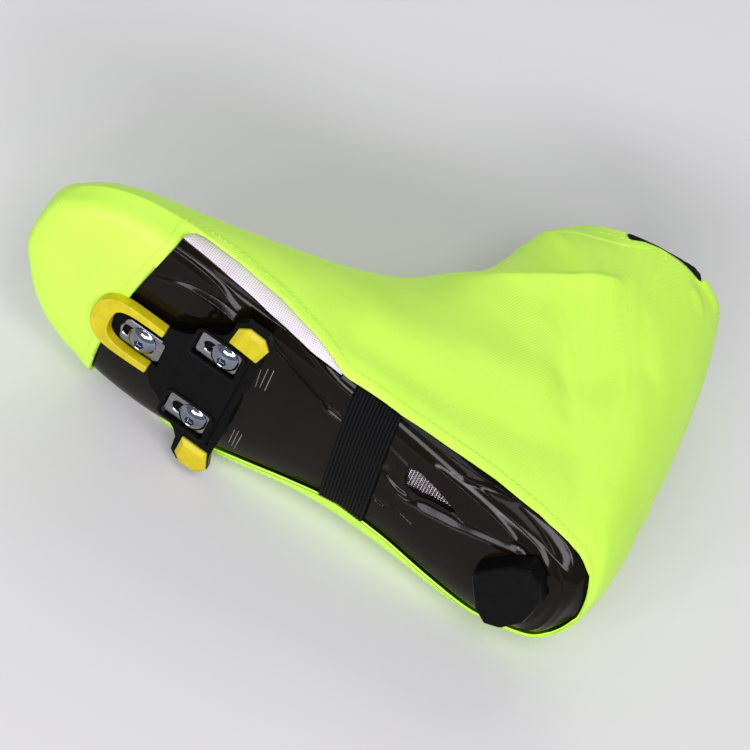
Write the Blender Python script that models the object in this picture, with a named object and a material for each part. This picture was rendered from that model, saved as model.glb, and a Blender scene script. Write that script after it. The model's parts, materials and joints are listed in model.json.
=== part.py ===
"""Cycling overshoe on its road shoe, a right foot, lying on its outer side.

The overshoe is one thin sock of fabric. It is cut open underneath, where the sole,
the cleat and the heel pad come through, and a black elastic strap crosses the arch.

All shells are worked out from one form, the outside of the covered shoe. The form is
a fan of sections: the first stands up at the toe, the last lies flat at the collar.
In the shoe's own frame X runs from heel to toe, Y to the inner side and Z up from
the plane that the cleat and the heel pad stand on. An empty turns the whole shoe
onto its outer side, where it comes to rest.
"""

import math

import bmesh
import bpy
import numpy as np
from mathutils import Matrix, Vector
from mathutils.bvhtree import BVHTree
from mathutils.geometry import delaunay_2d_cdt

# The form's sizes, in metres
LENGTH = 0.280
BALL_WIDTH = 0.100
SOLE_LIFT = 0.010
INSTEP_HEIGHT = 0.123
COLLAR_FRONT_HEIGHT = 0.1785
COLLAR_BACK_HEIGHT = 0.190

# Walls and clearances
FABRIC = 0.0015
UPPER_WALL = 0.0020
SOLE_WALL = 0.0030
INSOLE_WALL = 0.0025
INSOLE_DISH = 0.0050
GAP = 0.0003
RIM_GAP = 0.0005
SEAT_REACH = 0.0020
HEM_REACH = 0.0080

# How far the cutters reach past what they cut
CUT_BELOW = 0.0200
CUT_ABOVE = 0.0500

# The footbed's ends, at sections of the form
INSOLE_TOE = 3.2
INSOLE_HEEL = 15.2

# The opening underneath and the strap across it
TOE_COVER_EDGE = 0.2290
TOE_COVER_BOW = 0.0045
CORNER_BLEND = 0.0060
STRAP_FROM_HEEL = 0.1141
STRAP_WIDTH = 0.0213
STRAP_SLANT = 0.215

# The grip tape inside the collar
TAPE_WALL = 0.0010
TAPE_DEPTH = 0.0090
TAPE_RISE = 0.0040

# The grooves between the sole's panels
GROOVE_DEPTH = 0.0008
GROOVE_STEPS = 5

# The vent behind the strap
VENT_FROM_HEEL = 0.0830
VENT_SIDE = 0.0105
VENT_LENGTH = 0.0260
VENT_WIDTH = 0.0085
VENT_TURN = 0.24
VENT_MESH_WALL = 0.0008
VENT_MESH_DEPTH = 0.0011

# The heel pad
PAD_FROM_HEEL = 0.0350
PAD_LENGTH = 0.0310
PAD_WIDTH = 0.0470
PAD_DRAFT = 0.0012

# The cleat, with its three bolts
CLEAT_FROM_HEEL = 0.1932
CLEAT_SIDE = -0.0014
CLEAT_TURN = -0.090
CLEAT_HEIGHT = 0.0125
CLEAT_TILT = 0.105
CLEAT_LENGTH = 0.0740
CLEAT_WIDTH = 0.0970
CLEAT_TREAD = 0.0020
REBATE_REACH = 0.0030
BOLT_SPREAD = 0.0430
BOLT_REACH = 0.0333
BOLT_HEAD = 0.0125
BOLT_DOME = 0.0024
BOLT_SHANK = 0.0050
BOLT_GRIP = 0.0020
SHANK_PLAY = 0.0004
WASHER_LENGTH = 0.0198
WASHER_WIDTH = 0.0136
WASHER_WALL = 0.0016
WASHER_SHIFT = 0.0030
POCKET_DEPTH = 0.0050
SLOT_LENGTH = 0.0090
SLOT_WIDTH = 0.0062

# Sections of the form, toe to collar.
# low_x and top_x are shares of LENGTH: the section's lowest and highest point.
# lift is a share of SOLE_LIFT and rise one of COLLAR_BACK_HEIGHT: the lowest point's height.
# instep is a share of INSTEP_HEIGHT, and shaft one of what the collar rises above it.
# inner and outer are half widths and swing is the middle's drift, in BALL_WIDTH.
# widest is where the section is widest, from its lowest point to its highest.
# keel and crown are the exponents of the curve below and above that.
FORM_COLUMNS = (
    "low_x", "lift", "rise", "top_x", "instep", "shaft",
    "inner", "outer", "widest", "keel", "crown", "swing",
)
FORM = (
    (0.992, 2.25, 0.000, 0.992, 0.244, 0.00, 0.020, 0.020, 0.50, 2.00, 2.0, 0.080),
    (0.990, 1.95, 0.000, 0.990, 0.276, 0.00, 0.110, 0.110, 0.40, 2.40, 2.2, 0.085),
    (0.982, 1.67, 0.000, 0.982, 0.305, 0.00, 0.190, 0.165, 0.37, 2.80, 2.3, 0.075),
    (0.964, 1.45, 0.000, 0.964, 0.333, 0.00, 0.265, 0.225, 0.35, 3.10, 2.3, 0.060),
    (0.934, 1.30, 0.000, 0.934, 0.366, 0.00, 0.360, 0.325, 0.33, 3.30, 2.3, 0.040),
    (0.886, 1.28, 0.000, 0.886, 0.411, 0.00, 0.435, 0.425, 0.31, 3.40, 2.3, 0.015),
    (0.807, 1.12, 0.000, 0.807, 0.472, 0.00, 0.483, 0.500, 0.29, 3.40, 2.2, 0.000),
    (0.714, 0.95, 0.000, 0.714, 0.557, 0.00, 0.490, 0.530, 0.26, 3.30, 2.2, 0.000),
    (0.636, 0.90, 0.000, 0.636, 0.646, 0.00, 0.475, 0.520, 0.25, 3.20, 2.1, 0.000),
    (0.554, 1.00, 0.000, 0.557, 0.756, 0.00, 0.440, 0.495, 0.23, 3.10, 2.0, 0.000),
    (0.471, 1.20, 0.000, 0.486, 0.874, 0.00, 0.400, 0.470, 0.22, 3.10, 2.0, 0.000),
    (0.393, 1.25, 0.000, 0.425, 1.000, 0.00, 0.370, 0.450, 0.20, 3.10, 2.1, 0.000),
    (0.304, 1.05, 0.000, 0.391, 1.000, 0.25, 0.355, 0.440, 0.19, 3.10, 2.3, 0.000),
    (0.214, 0.70, 0.000, 0.377, 1.000, 0.44, 0.345, 0.430, 0.19, 3.10, 2.5, 0.000),
    (0.125, 0.45, 0.000, 0.368, 1.000, 0.58, 0.345, 0.410, 0.19, 3.10, 2.6, 0.000),
    (0.050, 0.50, 0.000, 0.363, 1.000, 0.685, 0.340, 0.380, 0.21, 2.80, 2.7, 0.000),
    (0.024, 0.87, 0.000, 0.360, 1.000, 0.72, 0.343, 0.370, 0.23, 2.65, 2.7, 0.000),
    (0.005, 1.00, 0.026, 0.357, 1.000, 0.76, 0.345, 0.360, 0.25, 2.50, 2.7, 0.000),
    (-0.007, 1.00, 0.137, 0.354, 1.000, 0.81, 0.350, 0.350, 0.30, 2.20, 2.7, 0.000),
    (-0.009, 1.00, 0.295, 0.350, 1.000, 0.86, 0.360, 0.345, 0.38, 2.10, 2.7, 0.000),
    (-0.005, 1.00, 0.458, 0.346, 1.000, 0.89, 0.360, 0.350, 0.45, 2.10, 2.5, 0.000),
    (0.002, 1.00, 0.632, 0.343, 1.000, 0.93, 0.355, 0.350, 0.50, 2.10, 2.2, 0.000),
    (0.014, 1.00, 0.800, 0.339, 1.000, 0.96, 0.340, 0.345, 0.50, 2.00, 2.0, 0.000),
    (0.034, 1.00, 0.947, 0.334, 1.000, 1.00, 0.320, 0.340, 0.50, 2.00, 1.9, 0.000),
)

# Edges of the shells, at sections of the form counted from 0 at the toe.
# hem_in and hem_out are the overshoe's lower edge on each side: its distance round
# the section from the middle of the sole, as a share of BALL_WIDTH.
# rim is the height where the sole ends and the shoe's upper begins, and topline the
# height of that upper, both as shares of COLLAR_BACK_HEIGHT.
EDGE_COLUMNS = ("section", "hem_in", "hem_out", "rim", "topline")
EDGES = (
    (0.0, 0.560, 0.500, 0.140, 2.000),
    (4.0, 0.560, 0.500, 0.136, 2.000),
    (5.0, 0.565, 0.500, 0.130, 2.000),
    (6.0, 0.580, 0.500, 0.123, 2.000),
    (6.5, 0.608, 0.530, 0.112, 2.000),
    (7.0, 0.602, 0.545, 0.100, 2.000),
    (8.0, 0.562, 0.500, 0.088, 2.000),
    (9.0, 0.475, 0.410, 0.086, 2.000),
    (9.7, 0.383, 0.362, 0.094, 2.000),
    (10.5, 0.370, 0.308, 0.102, 0.700),
    (11.0, 0.360, 0.280, 0.105, 0.580),
    (12.0, 0.372, 0.285, 0.105, 0.450),
    (13.0, 0.400, 0.312, 0.105, 0.350),
    (14.0, 0.402, 0.345, 0.105, 0.315),
    (15.0, 0.345, 0.260, 0.110, 0.330),
    (16.0, 0.250, 0.165, 0.115, 0.350),
    (17.0, -0.120, -0.120, 0.120, 0.370),
    (19.0, -0.500, -0.500, 0.120, 0.385),
    (23.0, -0.500, -0.500, 0.120, 0.385),
)

# Grooves that part the panels of the sole's underside: from x, y and width, to x, y
# and width. The x values are shares of LENGTH and the others of BALL_WIDTH.
GROOVES = (
    (0.610, 0.360, 0.034, 0.448, 0.115, 0.024),
    (0.392, 0.300, 0.028, 0.150, 0.195, 0.016),
    (0.372, 0.155, 0.170, 0.318, 0.130, 0.110),
    (0.400, -0.200, 0.026, 0.290, -0.120, 0.014),
)

# The grip tape's edge above the collar, round the inner side from back to front.
TAPE_COLUMNS = ("along", "above")
TAPE = (
    (0.00, 0.90),
    (0.12, 1.00),
    (0.28, 0.40),
    (0.50, 0.30),
    (0.72, 0.35),
    (0.88, 0.75),
    (1.00, 0.55),
)
TAPE_FROM = 5
TAPE_TO = 10

# Half outlines, nose first. Shares of the cleat's length and half width.
CLEAT_OUTLINE = (
    (1.000, 0.000), (0.993, 0.110), (0.965, 0.220), (0.900, 0.310),
    (0.800, 0.360), (0.660, 0.380), (0.520, 0.390), (0.440, 0.440),
    (0.350, 0.600), (0.270, 0.680), (0.235, 0.760), (0.225, 0.930),
    (0.175, 1.000), (0.040, 1.000), (-0.010, 0.880), (0.015, 0.720),
    (0.010, 0.560), (0.000, 0.300), (0.020, 0.150), (0.020, 0.000),
)
NOSE_OUTER = (
    (0.985, 0.000), (0.978, 0.105), (0.950, 0.205), (0.888, 0.290),
    (0.800, 0.335), (0.680, 0.352), (0.575, 0.358),
)
NOSE_INNER = (
    (0.575, 0.215), (0.680, 0.215), (0.775, 0.195), (0.825, 0.120), (0.838, 0.000),
)
WING_PAD = (
    (0.195, 0.700), (0.190, 0.900), (0.150, 0.965), (0.050, 0.965),
    (0.020, 0.880), (0.045, 0.700),
)
# The heel pad's outline: shares of its length and half width, from its middle.
PAD_OUTLINE = (
    (0.500, 0.000), (0.490, 0.130), (0.180, 0.780), (-0.060, 1.000),
    (-0.280, 0.860), (-0.480, 0.400), (-0.500, 0.000),
)

RING = 32
SOLE_ANGLES = (5.0, 16.0, 28.0)
TOE_STEP = 1.0
FOOT_STEP = 0.6
SHAFT_STEP = 1.0
TOE_SECTIONS = 5
FOOT_SECTIONS = 17
BOLT_SIDES = 14

MATERIALS = {
    "overshoe_upper": ((0.47, 0.93, 0.09), 0.75, 0.0),
    "collar_gripper": ((0.012, 0.012, 0.012), 0.6, 0.0),
    "arch_strap": ((0.01, 0.01, 0.01), 0.85, 0.0),
    "shoe_upper": ((0.74, 0.71, 0.75), 0.5, 0.0),
    "insole": ((0.05, 0.05, 0.055), 0.9, 0.0),
    "outsole": ((0.012, 0.011, 0.010), 0.2, 0.0),
    "vent_mesh": ((0.45, 0.43, 0.44), 0.4, 0.6),
    "heel_pad": ((0.012, 0.012, 0.012), 0.5, 0.0),
    "cleat_body": ((0.015, 0.015, 0.015), 0.4, 0.0),
    "cleat_tread": ((0.85, 0.68, 0.02), 0.45, 0.0),
    "cleat_washer": ((0.45, 0.45, 0.47), 0.3, 1.0),
    "cleat_bolt": ((0.75, 0.76, 0.80), 0.12, 1.0),
}
# Weights, in kilograms, which settle how the shoe lies.
WEIGHTS = {
    "overshoe_upper": 0.040, "shoe_upper": 0.085, "insole": 0.018, "outsole": 0.120,
    "heel_pad": 0.010, "cleat_body": 0.032,
}


def table(rows, columns):
    """The table as one array for each named column."""
    values = np.array(rows, float)
    return {name: values[:, i] for i, name in enumerate(columns)}


def through(values, stations):
    """A smooth curve through the values, read at fractional positions."""
    last = len(values) - 1
    i = np.clip(np.floor(stations).astype(int), 0, last - 1)
    f = stations - i
    a = values[np.clip(i - 1, 0, last)]
    b = values[i]
    c = values[i + 1]
    d = values[np.clip(i + 2, 0, last)]
    return 0.5 * (2 * b + (c - a) * f + (2 * a - 5 * b + 4 * c - d) * f**2
                  + (3 * b - a - 3 * c + d) * f**3)


def edge_at(name, stations):
    edges = table(EDGES, EDGE_COLUMNS)
    return np.interp(stations, edges["section"], edges[name])


def form_grid(stations, angles):
    """Points of the form: a row for each station, a column for each angle.

    Angle 0 is the middle of the sole, a quarter turn is the inner side, and a half
    turn is the ridge of the instep or the front of the shaft.
    """
    form = {name: through(values, stations)[:, None]
            for name, values in table(FORM, FORM_COLUMNS).items()}
    low_x = form["low_x"] * LENGTH
    low_z = form["lift"] * SOLE_LIFT + form["rise"] * COLLAR_BACK_HEIGHT
    top_x = form["top_x"] * LENGTH
    top_z = form["instep"] * INSTEP_HEIGHT + form["shaft"] * (COLLAR_FRONT_HEIGHT - INSTEP_HEIGHT)
    up = -np.cos(angles)[None, :]
    side = np.sin(angles)[None, :]
    power = 2 / np.where(up > 0, form["crown"], form["keel"])
    climb = np.abs(up) ** power
    widest = form["widest"]
    share = np.where(up > 0, widest + (1 - widest) * climb, widest - widest * climb)
    half = np.where(side >= 0, form["inner"], -form["outer"]) * BALL_WIDTH
    y = half * np.abs(side) ** power + form["swing"] * BALL_WIDTH
    x = low_x + (top_x - low_x) * share
    z = low_z + (top_z - low_z) * share
    return np.stack([x, y, z], 2)


def outward(grid):
    """A unit vector out of the form at each point of the grid."""
    along = np.gradient(grid, axis=0)
    around = np.roll(grid, -1, 1) - np.roll(grid, 1, 1)
    normal = np.cross(along, around)
    return normal / np.maximum(np.linalg.norm(normal, axis=2, keepdims=True), 1e-12)


def girth(grid):
    """Distance round each section from the middle of the sole, both ways."""
    step = np.linalg.norm(np.roll(grid, -1, 1) - grid, axis=2)
    reached = np.cumsum(step, axis=1) - step
    whole = step.sum(1, keepdims=True)
    return np.minimum(reached, whole - reached)


def smooth_max(a, b, blend):
    near = np.maximum(blend - np.abs(a - b), 0) / blend
    return np.maximum(a, b) + near * near * blend / 4


def stations_between(first, last, step):
    return np.linspace(first, last, int(round((last - first) / step)) + 1)


STATIONS = np.concatenate([
    stations_between(0, TOE_SECTIONS, TOE_STEP),
    stations_between(TOE_SECTIONS, FOOT_SECTIONS, FOOT_STEP)[1:],
    stations_between(FOOT_SECTIONS, len(FORM) - 1, SHAFT_STEP)[1:],
])
EVEN_ANGLES = np.linspace(0, 2 * math.pi, RING, endpoint=False)
EXTRA_ANGLES = np.radians(SOLE_ANGLES)
FINE_ANGLES = np.sort(np.concatenate([EVEN_ANGLES, EXTRA_ANGLES, 2 * math.pi - EXTRA_ANGLES]))


class Form:
    """The form's grid, with the lines drawn on it that the shells are cut along."""

    def __init__(self, angles):
        self.angles = angles
        self.grid = form_grid(STATIONS, angles)
        self.normal = outward(self.grid)
        self.x, self.y, self.z = (self.grid[..., i] for i in range(3))
        self.girth = girth(self.grid)
        self.section = np.repeat(STATIONS[:, None], len(angles), 1)
        inner = self.y >= self.grid[:, :1, 1]
        self.hem = np.where(inner, edge_at("hem_in", self.section),
                            edge_at("hem_out", self.section)) * BALL_WIDTH
        self.rim = edge_at("rim", self.section) * COLLAR_BACK_HEIGHT
        self.topline = edge_at("topline", self.section) * COLLAR_BACK_HEIGHT

    def above_hem(self):
        bow = TOE_COVER_BOW * (self.y / (BALL_WIDTH / 2)) ** 2
        toe = self.x - (TOE_COVER_EDGE - bow)
        return smooth_max(self.girth - self.hem, toe, CORNER_BLEND)

    def on_strap(self):
        middle = STRAP_FROM_HEEL + STRAP_SLANT * self.y
        half = STRAP_WIDTH / 2 * math.hypot(1, STRAP_SLANT)
        return half - np.abs(self.x - middle)


def smallest(*fields):
    return np.minimum.reduce(fields)


def add_object(name, verts, faces, look=None):
    mesh = bpy.data.meshes.new(name)
    mesh.from_pydata([tuple(v) for v in verts], [], [tuple(f) for f in faces])
    obj = bpy.data.objects.new(name, mesh)
    bpy.context.collection.objects.link(obj)
    colour, roughness, metallic = MATERIALS[look or name]
    material = bpy.data.materials.new(name)
    material.use_nodes = True
    shader = material.node_tree.nodes["Principled BSDF"]
    shader.inputs["Base Color"].default_value = (*colour, 1)
    shader.inputs["Roughness"].default_value = roughness
    shader.inputs["Metallic"].default_value = metallic
    mesh.materials.append(material)
    turn_faces_out(mesh)
    mesh.shade_smooth()
    mesh.set_sharp_from_angle(angle=math.radians(40))
    obj.parent = SHOE
    return obj


def turn_faces_out(mesh):
    work = bmesh.new()
    work.from_mesh(mesh)
    bmesh.ops.recalc_face_normals(work, faces=work.faces)
    if work.calc_volume(signed=True) < 0:
        bmesh.ops.reverse_faces(work, faces=work.faces)
    work.to_mesh(mesh)
    work.free()


def grid_triangles(rows, columns):
    """The form's triangles, the same for every shell, so that no two shells cross."""
    quads = []
    for i in range(rows - 1):
        for j in range(columns):
            a, b = i * columns + j, i * columns + (j + 1) % columns
            quads.append((a, b, b + columns, a + columns))
    # The first section closes the toe, in strips from its lowest point to its highest.
    for j in range(columns // 2):
        a, b = j, j + 1
        quads.append((a, (columns - a) % columns, columns - b, b))
    triangles = []
    for a, b, c, d in quads:
        triangles += [[p, q, r] for p, q, r in ((a, b, c), (a, c, d)) if len({p, q, r}) == 3]
    return triangles


def cut_faces(faces, keep):
    """Clips each face to where the field is positive.

    A corner is a vertex number, or a pair of them with the share of the way from the
    first to the second, so that any surface with the same grid can place it.
    """
    kept = []
    for face in faces:
        out = []
        for a, b in zip(face, face[1:] + face[:1]):
            if keep[a] > 0:
                out.append((a, a, 0.0))
            if (keep[a] > 0) != (keep[b] > 0):
                low, high = min(a, b), max(a, b)
                share = keep[low] / (keep[low] - keep[high])
                out.append((low, high, min(max(share, 0.02), 0.98)))
        if len(out) > 2:
            kept.append(out)
    return kept


def shell(name, form, outer, inner, keep):
    """A wall between two depths below the form, where keep is positive."""
    cut = cut_faces(grid_triangles(*keep.shape), keep.ravel())
    corners = sorted({corner for face in cut for corner in face})
    number = {corner: i for i, corner in enumerate(corners)}
    low = np.array([c[0] for c in corners])
    high = np.array([c[1] for c in corners])
    share = np.array([c[2] for c in corners])[:, None]

    def place(depth):
        flat = (form.grid - form.normal * depth).reshape(-1, 3)
        return flat[low] * (1 - share) + flat[high] * share

    outside = [[number[c] for c in face] for face in cut]
    count = len(corners)
    inside = [[count + i for i in reversed(face)] for face in outside]
    used = {}
    for face in outside:
        for a, b in zip(face, face[1:] + face[:1]):
            used[(a, b)] = True
    walls = [[b, a, a + count, b + count] for a, b in used if (b, a) not in used]
    verts = np.vstack([place(outer), place(inner)])
    return add_object(name, verts, outside + inside + walls)


def tree_of(obj):
    mesh = obj.data
    mesh.calc_loop_triangles()
    return BVHTree.FromPolygons([v.co for v in mesh.vertices],
                                [tuple(t.vertices) for t in mesh.loop_triangles])


def sole_height(tree, x, y):
    """The height at which a shell begins over a point of the ground."""
    hit = tree.ray_cast(Vector((x, y, -CUT_BELOW)), Vector((0, 0, 1)))
    if hit[0] is not None:
        return hit[0].z
    return COLLAR_BACK_HEIGHT


def seat_height(trees, x, y):
    """The lowest that the shells over x, y come close by, less the clearance."""
    low = []
    for tree, reach in zip(trees, (SEAT_REACH, HEM_REACH)):
        around = [(x, y)] + round_outline(x, y, reach, 8)
        low.append(min(sole_height(tree, *p) for p in around))
    return min(low) - GAP


def mirrored(half):
    """A closed outline from a half outline given from nose to tail."""
    other = [(x, -y) for x, y in reversed(half) if y > 0]
    return list(half) + other


def fill(outline, spacing):
    """The outline and points inside it, joined into triangles."""
    points = np.array(outline)
    low, high = points.min(0), points.max(0)
    inside = []
    for x in np.arange(low[0] + spacing / 2, high[0], spacing):
        for y in np.arange(low[1] + spacing / 2, high[1], spacing):
            if depth_inside(points, x, y) > spacing * 0.45:
                inside.append((x, y))
    verts = [Vector(p) for p in outline] + [Vector(p) for p in inside]
    loop = list(range(len(outline)))
    made = delaunay_2d_cdt(verts, [], [loop], 1, 1e-7)
    return [tuple(v) for v in made[0]], [list(f) for f in made[2]]


def depth_inside(points, x, y):
    """Distance to the outline, negative outside it."""
    ends = np.roll(points, -1, 0)
    run = ends - points
    to = np.array([x, y]) - points
    t = np.clip((to * run).sum(1) / (run * run).sum(1), 0, 1)
    away = np.hypot(*(to - run * t[:, None]).T).min()
    above = (points[:, 1] > y) != (ends[:, 1] > y)
    cross = points[:, 0] + (y - points[:, 1]) / np.where(above, run[:, 1], 1) * run[:, 0]
    return away if (above & (cross > x)).sum() % 2 else -away


def plate_shape(outline, place, low, high, spacing, draft=0.0):
    """Vertices and faces over an outline, between heights worked out at each point.

    place turns the outline's own points into the shoe's x and y. With a draft its
    lower face is drawn in towards the middle.
    """
    points, faces = fill(outline, spacing)
    middle = np.array(points).mean(0)
    upper = []
    lower = []
    for point in points:
        x, y = place(*point)
        upper.append((x, y, high(x, y)))
        away = np.array(point) - middle
        drawn = middle + away * (1 - draft / max(np.hypot(*away), draft * 4))
        x, y = place(*(drawn if draft else point))
        lower.append((x, y, low(x, y)))
    count = len(points)
    under = [[count + i for i in reversed(face)] for face in faces]
    used = {(a, b) for face in faces for a, b in zip(face, face[1:] + face[:1])}
    walls = [[b, a, a + count, b + count] for a, b in used if (b, a) not in used]
    return upper + lower, faces + under + walls


def prism(outline, low, high):
    """Vertices and faces of an upright prism, for a cutter."""
    count = len(outline)
    verts = [(x, y, low) for x, y in outline] + [(x, y, high) for x, y in outline]
    sides = [(i, (i + 1) % count, count + (i + 1) % count, count + i) for i in range(count)]
    return verts, [tuple(reversed(range(count))), tuple(range(count, 2 * count))] + sides


def add_cutter(name, parts, matrix=None):
    """One hidden mesh from several prisms that stand clear of each other."""
    verts, faces = [], []
    for part_verts, part_faces in parts:
        start = len(verts)
        verts += part_verts
        faces += [tuple(start + i for i in face) for face in part_faces]
    mesh = bpy.data.meshes.new(name)
    mesh.from_pydata(verts, [], faces)
    if matrix is not None:
        mesh.transform(matrix)
    work = bmesh.new()
    work.from_mesh(mesh)
    bmesh.ops.recalc_face_normals(work, faces=work.faces)
    work.to_mesh(mesh)
    work.free()
    obj = bpy.data.objects.new(name, mesh)
    bpy.context.collection.objects.link(obj)
    obj.hide_render = True
    obj.display_type = "WIRE"
    obj.parent = SHOE
    return obj


def cut(obj, cutter):
    modifier = obj.modifiers.new(cutter.name, "BOOLEAN")
    modifier.operation = "DIFFERENCE"
    modifier.solver = "EXACT"
    modifier.object = cutter


def box_outline(x, y, length, width):
    return [(x - length / 2, y - width / 2), (x + length / 2, y - width / 2),
            (x + length / 2, y + width / 2), (x - length / 2, y + width / 2)]


def round_outline(x, y, radius, sides):
    turns = [2 * math.pi * i / sides for i in range(sides)]
    return [(x + radius * math.cos(t), y + radius * math.sin(t)) for t in turns]


def clear_scene():
    for obj in list(bpy.data.objects):
        bpy.data.objects.remove(obj, do_unlink=True)


def make_shells():
    even = Form(EVEN_ANGLES)
    fine = Form(FINE_ANGLES)
    hem = even.above_hem()
    cover = shell("overshoe_upper", even, 0.0, FABRIC, hem - GAP / 2)
    strap = smallest(even.on_strap(), -GAP / 2 - (even.girth - even.hem))
    shell("arch_strap", even, 0.0, FABRIC, strap)

    skin = FABRIC + GAP
    upper = smallest(even.z - even.rim - RIM_GAP / 2, even.topline - even.z)
    shell("shoe_upper", even, skin, skin + UPPER_WALL, upper)

    below = fine.rim - RIM_GAP / 2 - fine.z
    outsole = shell("outsole", fine, skin, skin + SOLE_WALL, below)

    bed = skin + SOLE_WALL + GAP
    low = even.grid[:, :1, 2]
    footbed = smallest(low + INSOLE_DISH - even.z,
                       (even.section - INSOLE_TOE) * LENGTH / len(FORM),
                       (INSOLE_HEEL - even.section) * LENGTH / len(FORM))
    shell("insole", even, bed, bed + INSOLE_WALL, footbed)
    return even, outsole, cover


def make_tape(form):
    """Grip tape inside the collar's inner side, with an edge above the fabric."""
    top = form.grid[-1]
    rule = form.grid[-1] - form.grid[-2]
    rule = rule / np.linalg.norm(rule, axis=1, keepdims=True)
    normal = form.normal[-1]
    edge = table(TAPE, TAPE_COLUMNS)
    verts = []
    steps = 2 * (TAPE_TO - TAPE_FROM) + 1
    for depth in (FABRIC + GAP, FABRIC + GAP + TAPE_WALL):
        for k in range(steps):
            at = TAPE_FROM + k / 2
            i = min(int(at), TAPE_TO - 1)
            f = at - i
            point, up, out = (a[i] * (1 - f) + a[i + 1] * f for a in (top, rule, normal))
            above = np.interp(k / (steps - 1), edge["along"], edge["above"]) * TAPE_RISE
            for reach in (-TAPE_DEPTH, above):
                verts.append(point - out * depth + up * reach)
    half = 2 * steps
    faces = []
    for k in range(steps - 1):
        a, b, c, d = 2 * k, 2 * k + 2, 2 * k + 3, 2 * k + 1
        faces += [(a, b, c, d), (half + a, half + d, half + c, half + b),
                  (a, half + a, half + b, b), (d, c, half + c, half + d)]
    last = half - 2
    faces += [(0, 1, half + 1, half), (last, half + last, half + last + 1, last + 1)]
    add_object("collar_gripper", verts, faces)


def make_grooves(outsole, tree):
    bands = []
    for from_x, from_y, from_width, to_x, to_y, to_width in GROOVES:
        start = np.array([from_x * LENGTH, from_y * BALL_WIDTH])
        run = np.array([to_x * LENGTH, to_y * BALL_WIDTH]) - start
        across = np.array([-run[1], run[0]]) / math.hypot(*run)
        sides = []
        for side in (-1, 1):
            for share in np.linspace(0, 1, GROOVE_STEPS)[::-side]:
                width = from_width + (to_width - from_width) * share
                half = side * width * BALL_WIDTH / 2
                sides.append(tuple(start + run * share + across * half))
        bands.append(plate_shape(sides, lambda x, y: (x, y), lambda x, y: -CUT_BELOW,
                                 lambda x, y: sole_height(tree, x, y) + GROOVE_DEPTH, LENGTH))
    cut(outsole, add_cutter("groove_cutter", bands))


def make_vent(outsole, tree):
    def at(forward, side):
        x = forward * math.cos(VENT_TURN) - side * math.sin(VENT_TURN)
        y = forward * math.sin(VENT_TURN) + side * math.cos(VENT_TURN)
        return VENT_FROM_HEEL + x, VENT_SIDE + y

    def outline(shrink):
        long = VENT_LENGTH / 2 - shrink
        wide = VENT_WIDTH / 2 - shrink
        return [(long, wide * 0.55), (long * 0.80, wide), (0.0, wide * 0.75),
                (-long, wide * 0.15), (-long, -wide * 0.15), (0.0, -wide * 0.60),
                (long * 0.75, -wide * 0.85), (long, -wide * 0.30)][::-1]

    hole = [at(*p) for p in outline(0.0)]
    cut(outsole, add_cutter("vent_cutter", [prism(hole, -CUT_BELOW, CUT_ABOVE)]))
    add_object("vent_mesh", *plate_shape(
        outline(GAP), at,
        lambda x, y: sole_height(tree, x, y) + VENT_MESH_DEPTH,
        lambda x, y: sole_height(tree, x, y) + VENT_MESH_DEPTH + VENT_MESH_WALL,
        VENT_WIDTH / 2))


def make_pad(trees):
    outline = mirrored([(f * PAD_LENGTH, s * PAD_WIDTH / 2) for f, s in PAD_OUTLINE])
    add_object("heel_pad", *plate_shape(
        outline, lambda f, s: (PAD_FROM_HEEL + f, s),
        lambda x, y: 0.0, lambda x, y: seat_height(trees, x, y),
        PAD_LENGTH / 5, PAD_DRAFT))


def cleat_point(forward, side):
    """The cleat's own forward and side, in metres from its bolts' middle, as x and y."""
    c, s = math.cos(CLEAT_TURN), math.sin(CLEAT_TURN)
    return CLEAT_FROM_HEEL + forward * c - side * s, CLEAT_SIDE + forward * s + side * c


CLEAT_TAIL = -CLEAT_LENGTH * 0.355


def cleat_outline(half):
    return [(CLEAT_TAIL + f * CLEAT_LENGTH, s * CLEAT_WIDTH / 2) for f, s in half]


def cleat_matrix():
    """Stands the cleat's tail on the ground, tilted up towards the toe."""
    x, y = cleat_point(CLEAT_TAIL, 0)
    return (Matrix.Translation((x, y, 0)) @ Matrix.Rotation(CLEAT_TURN, 4, "Z")
            @ Matrix.Rotation(-CLEAT_TILT, 4, "Y") @ Matrix.Translation((-CLEAT_TAIL, 0, 0)))


def ground_of_cleat(x, y):
    tail_x, tail_y = cleat_point(CLEAT_TAIL, 0)
    forward = (x - tail_x) * math.cos(CLEAT_TURN) + (y - tail_y) * math.sin(CLEAT_TURN)
    return forward * math.tan(CLEAT_TILT)


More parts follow.
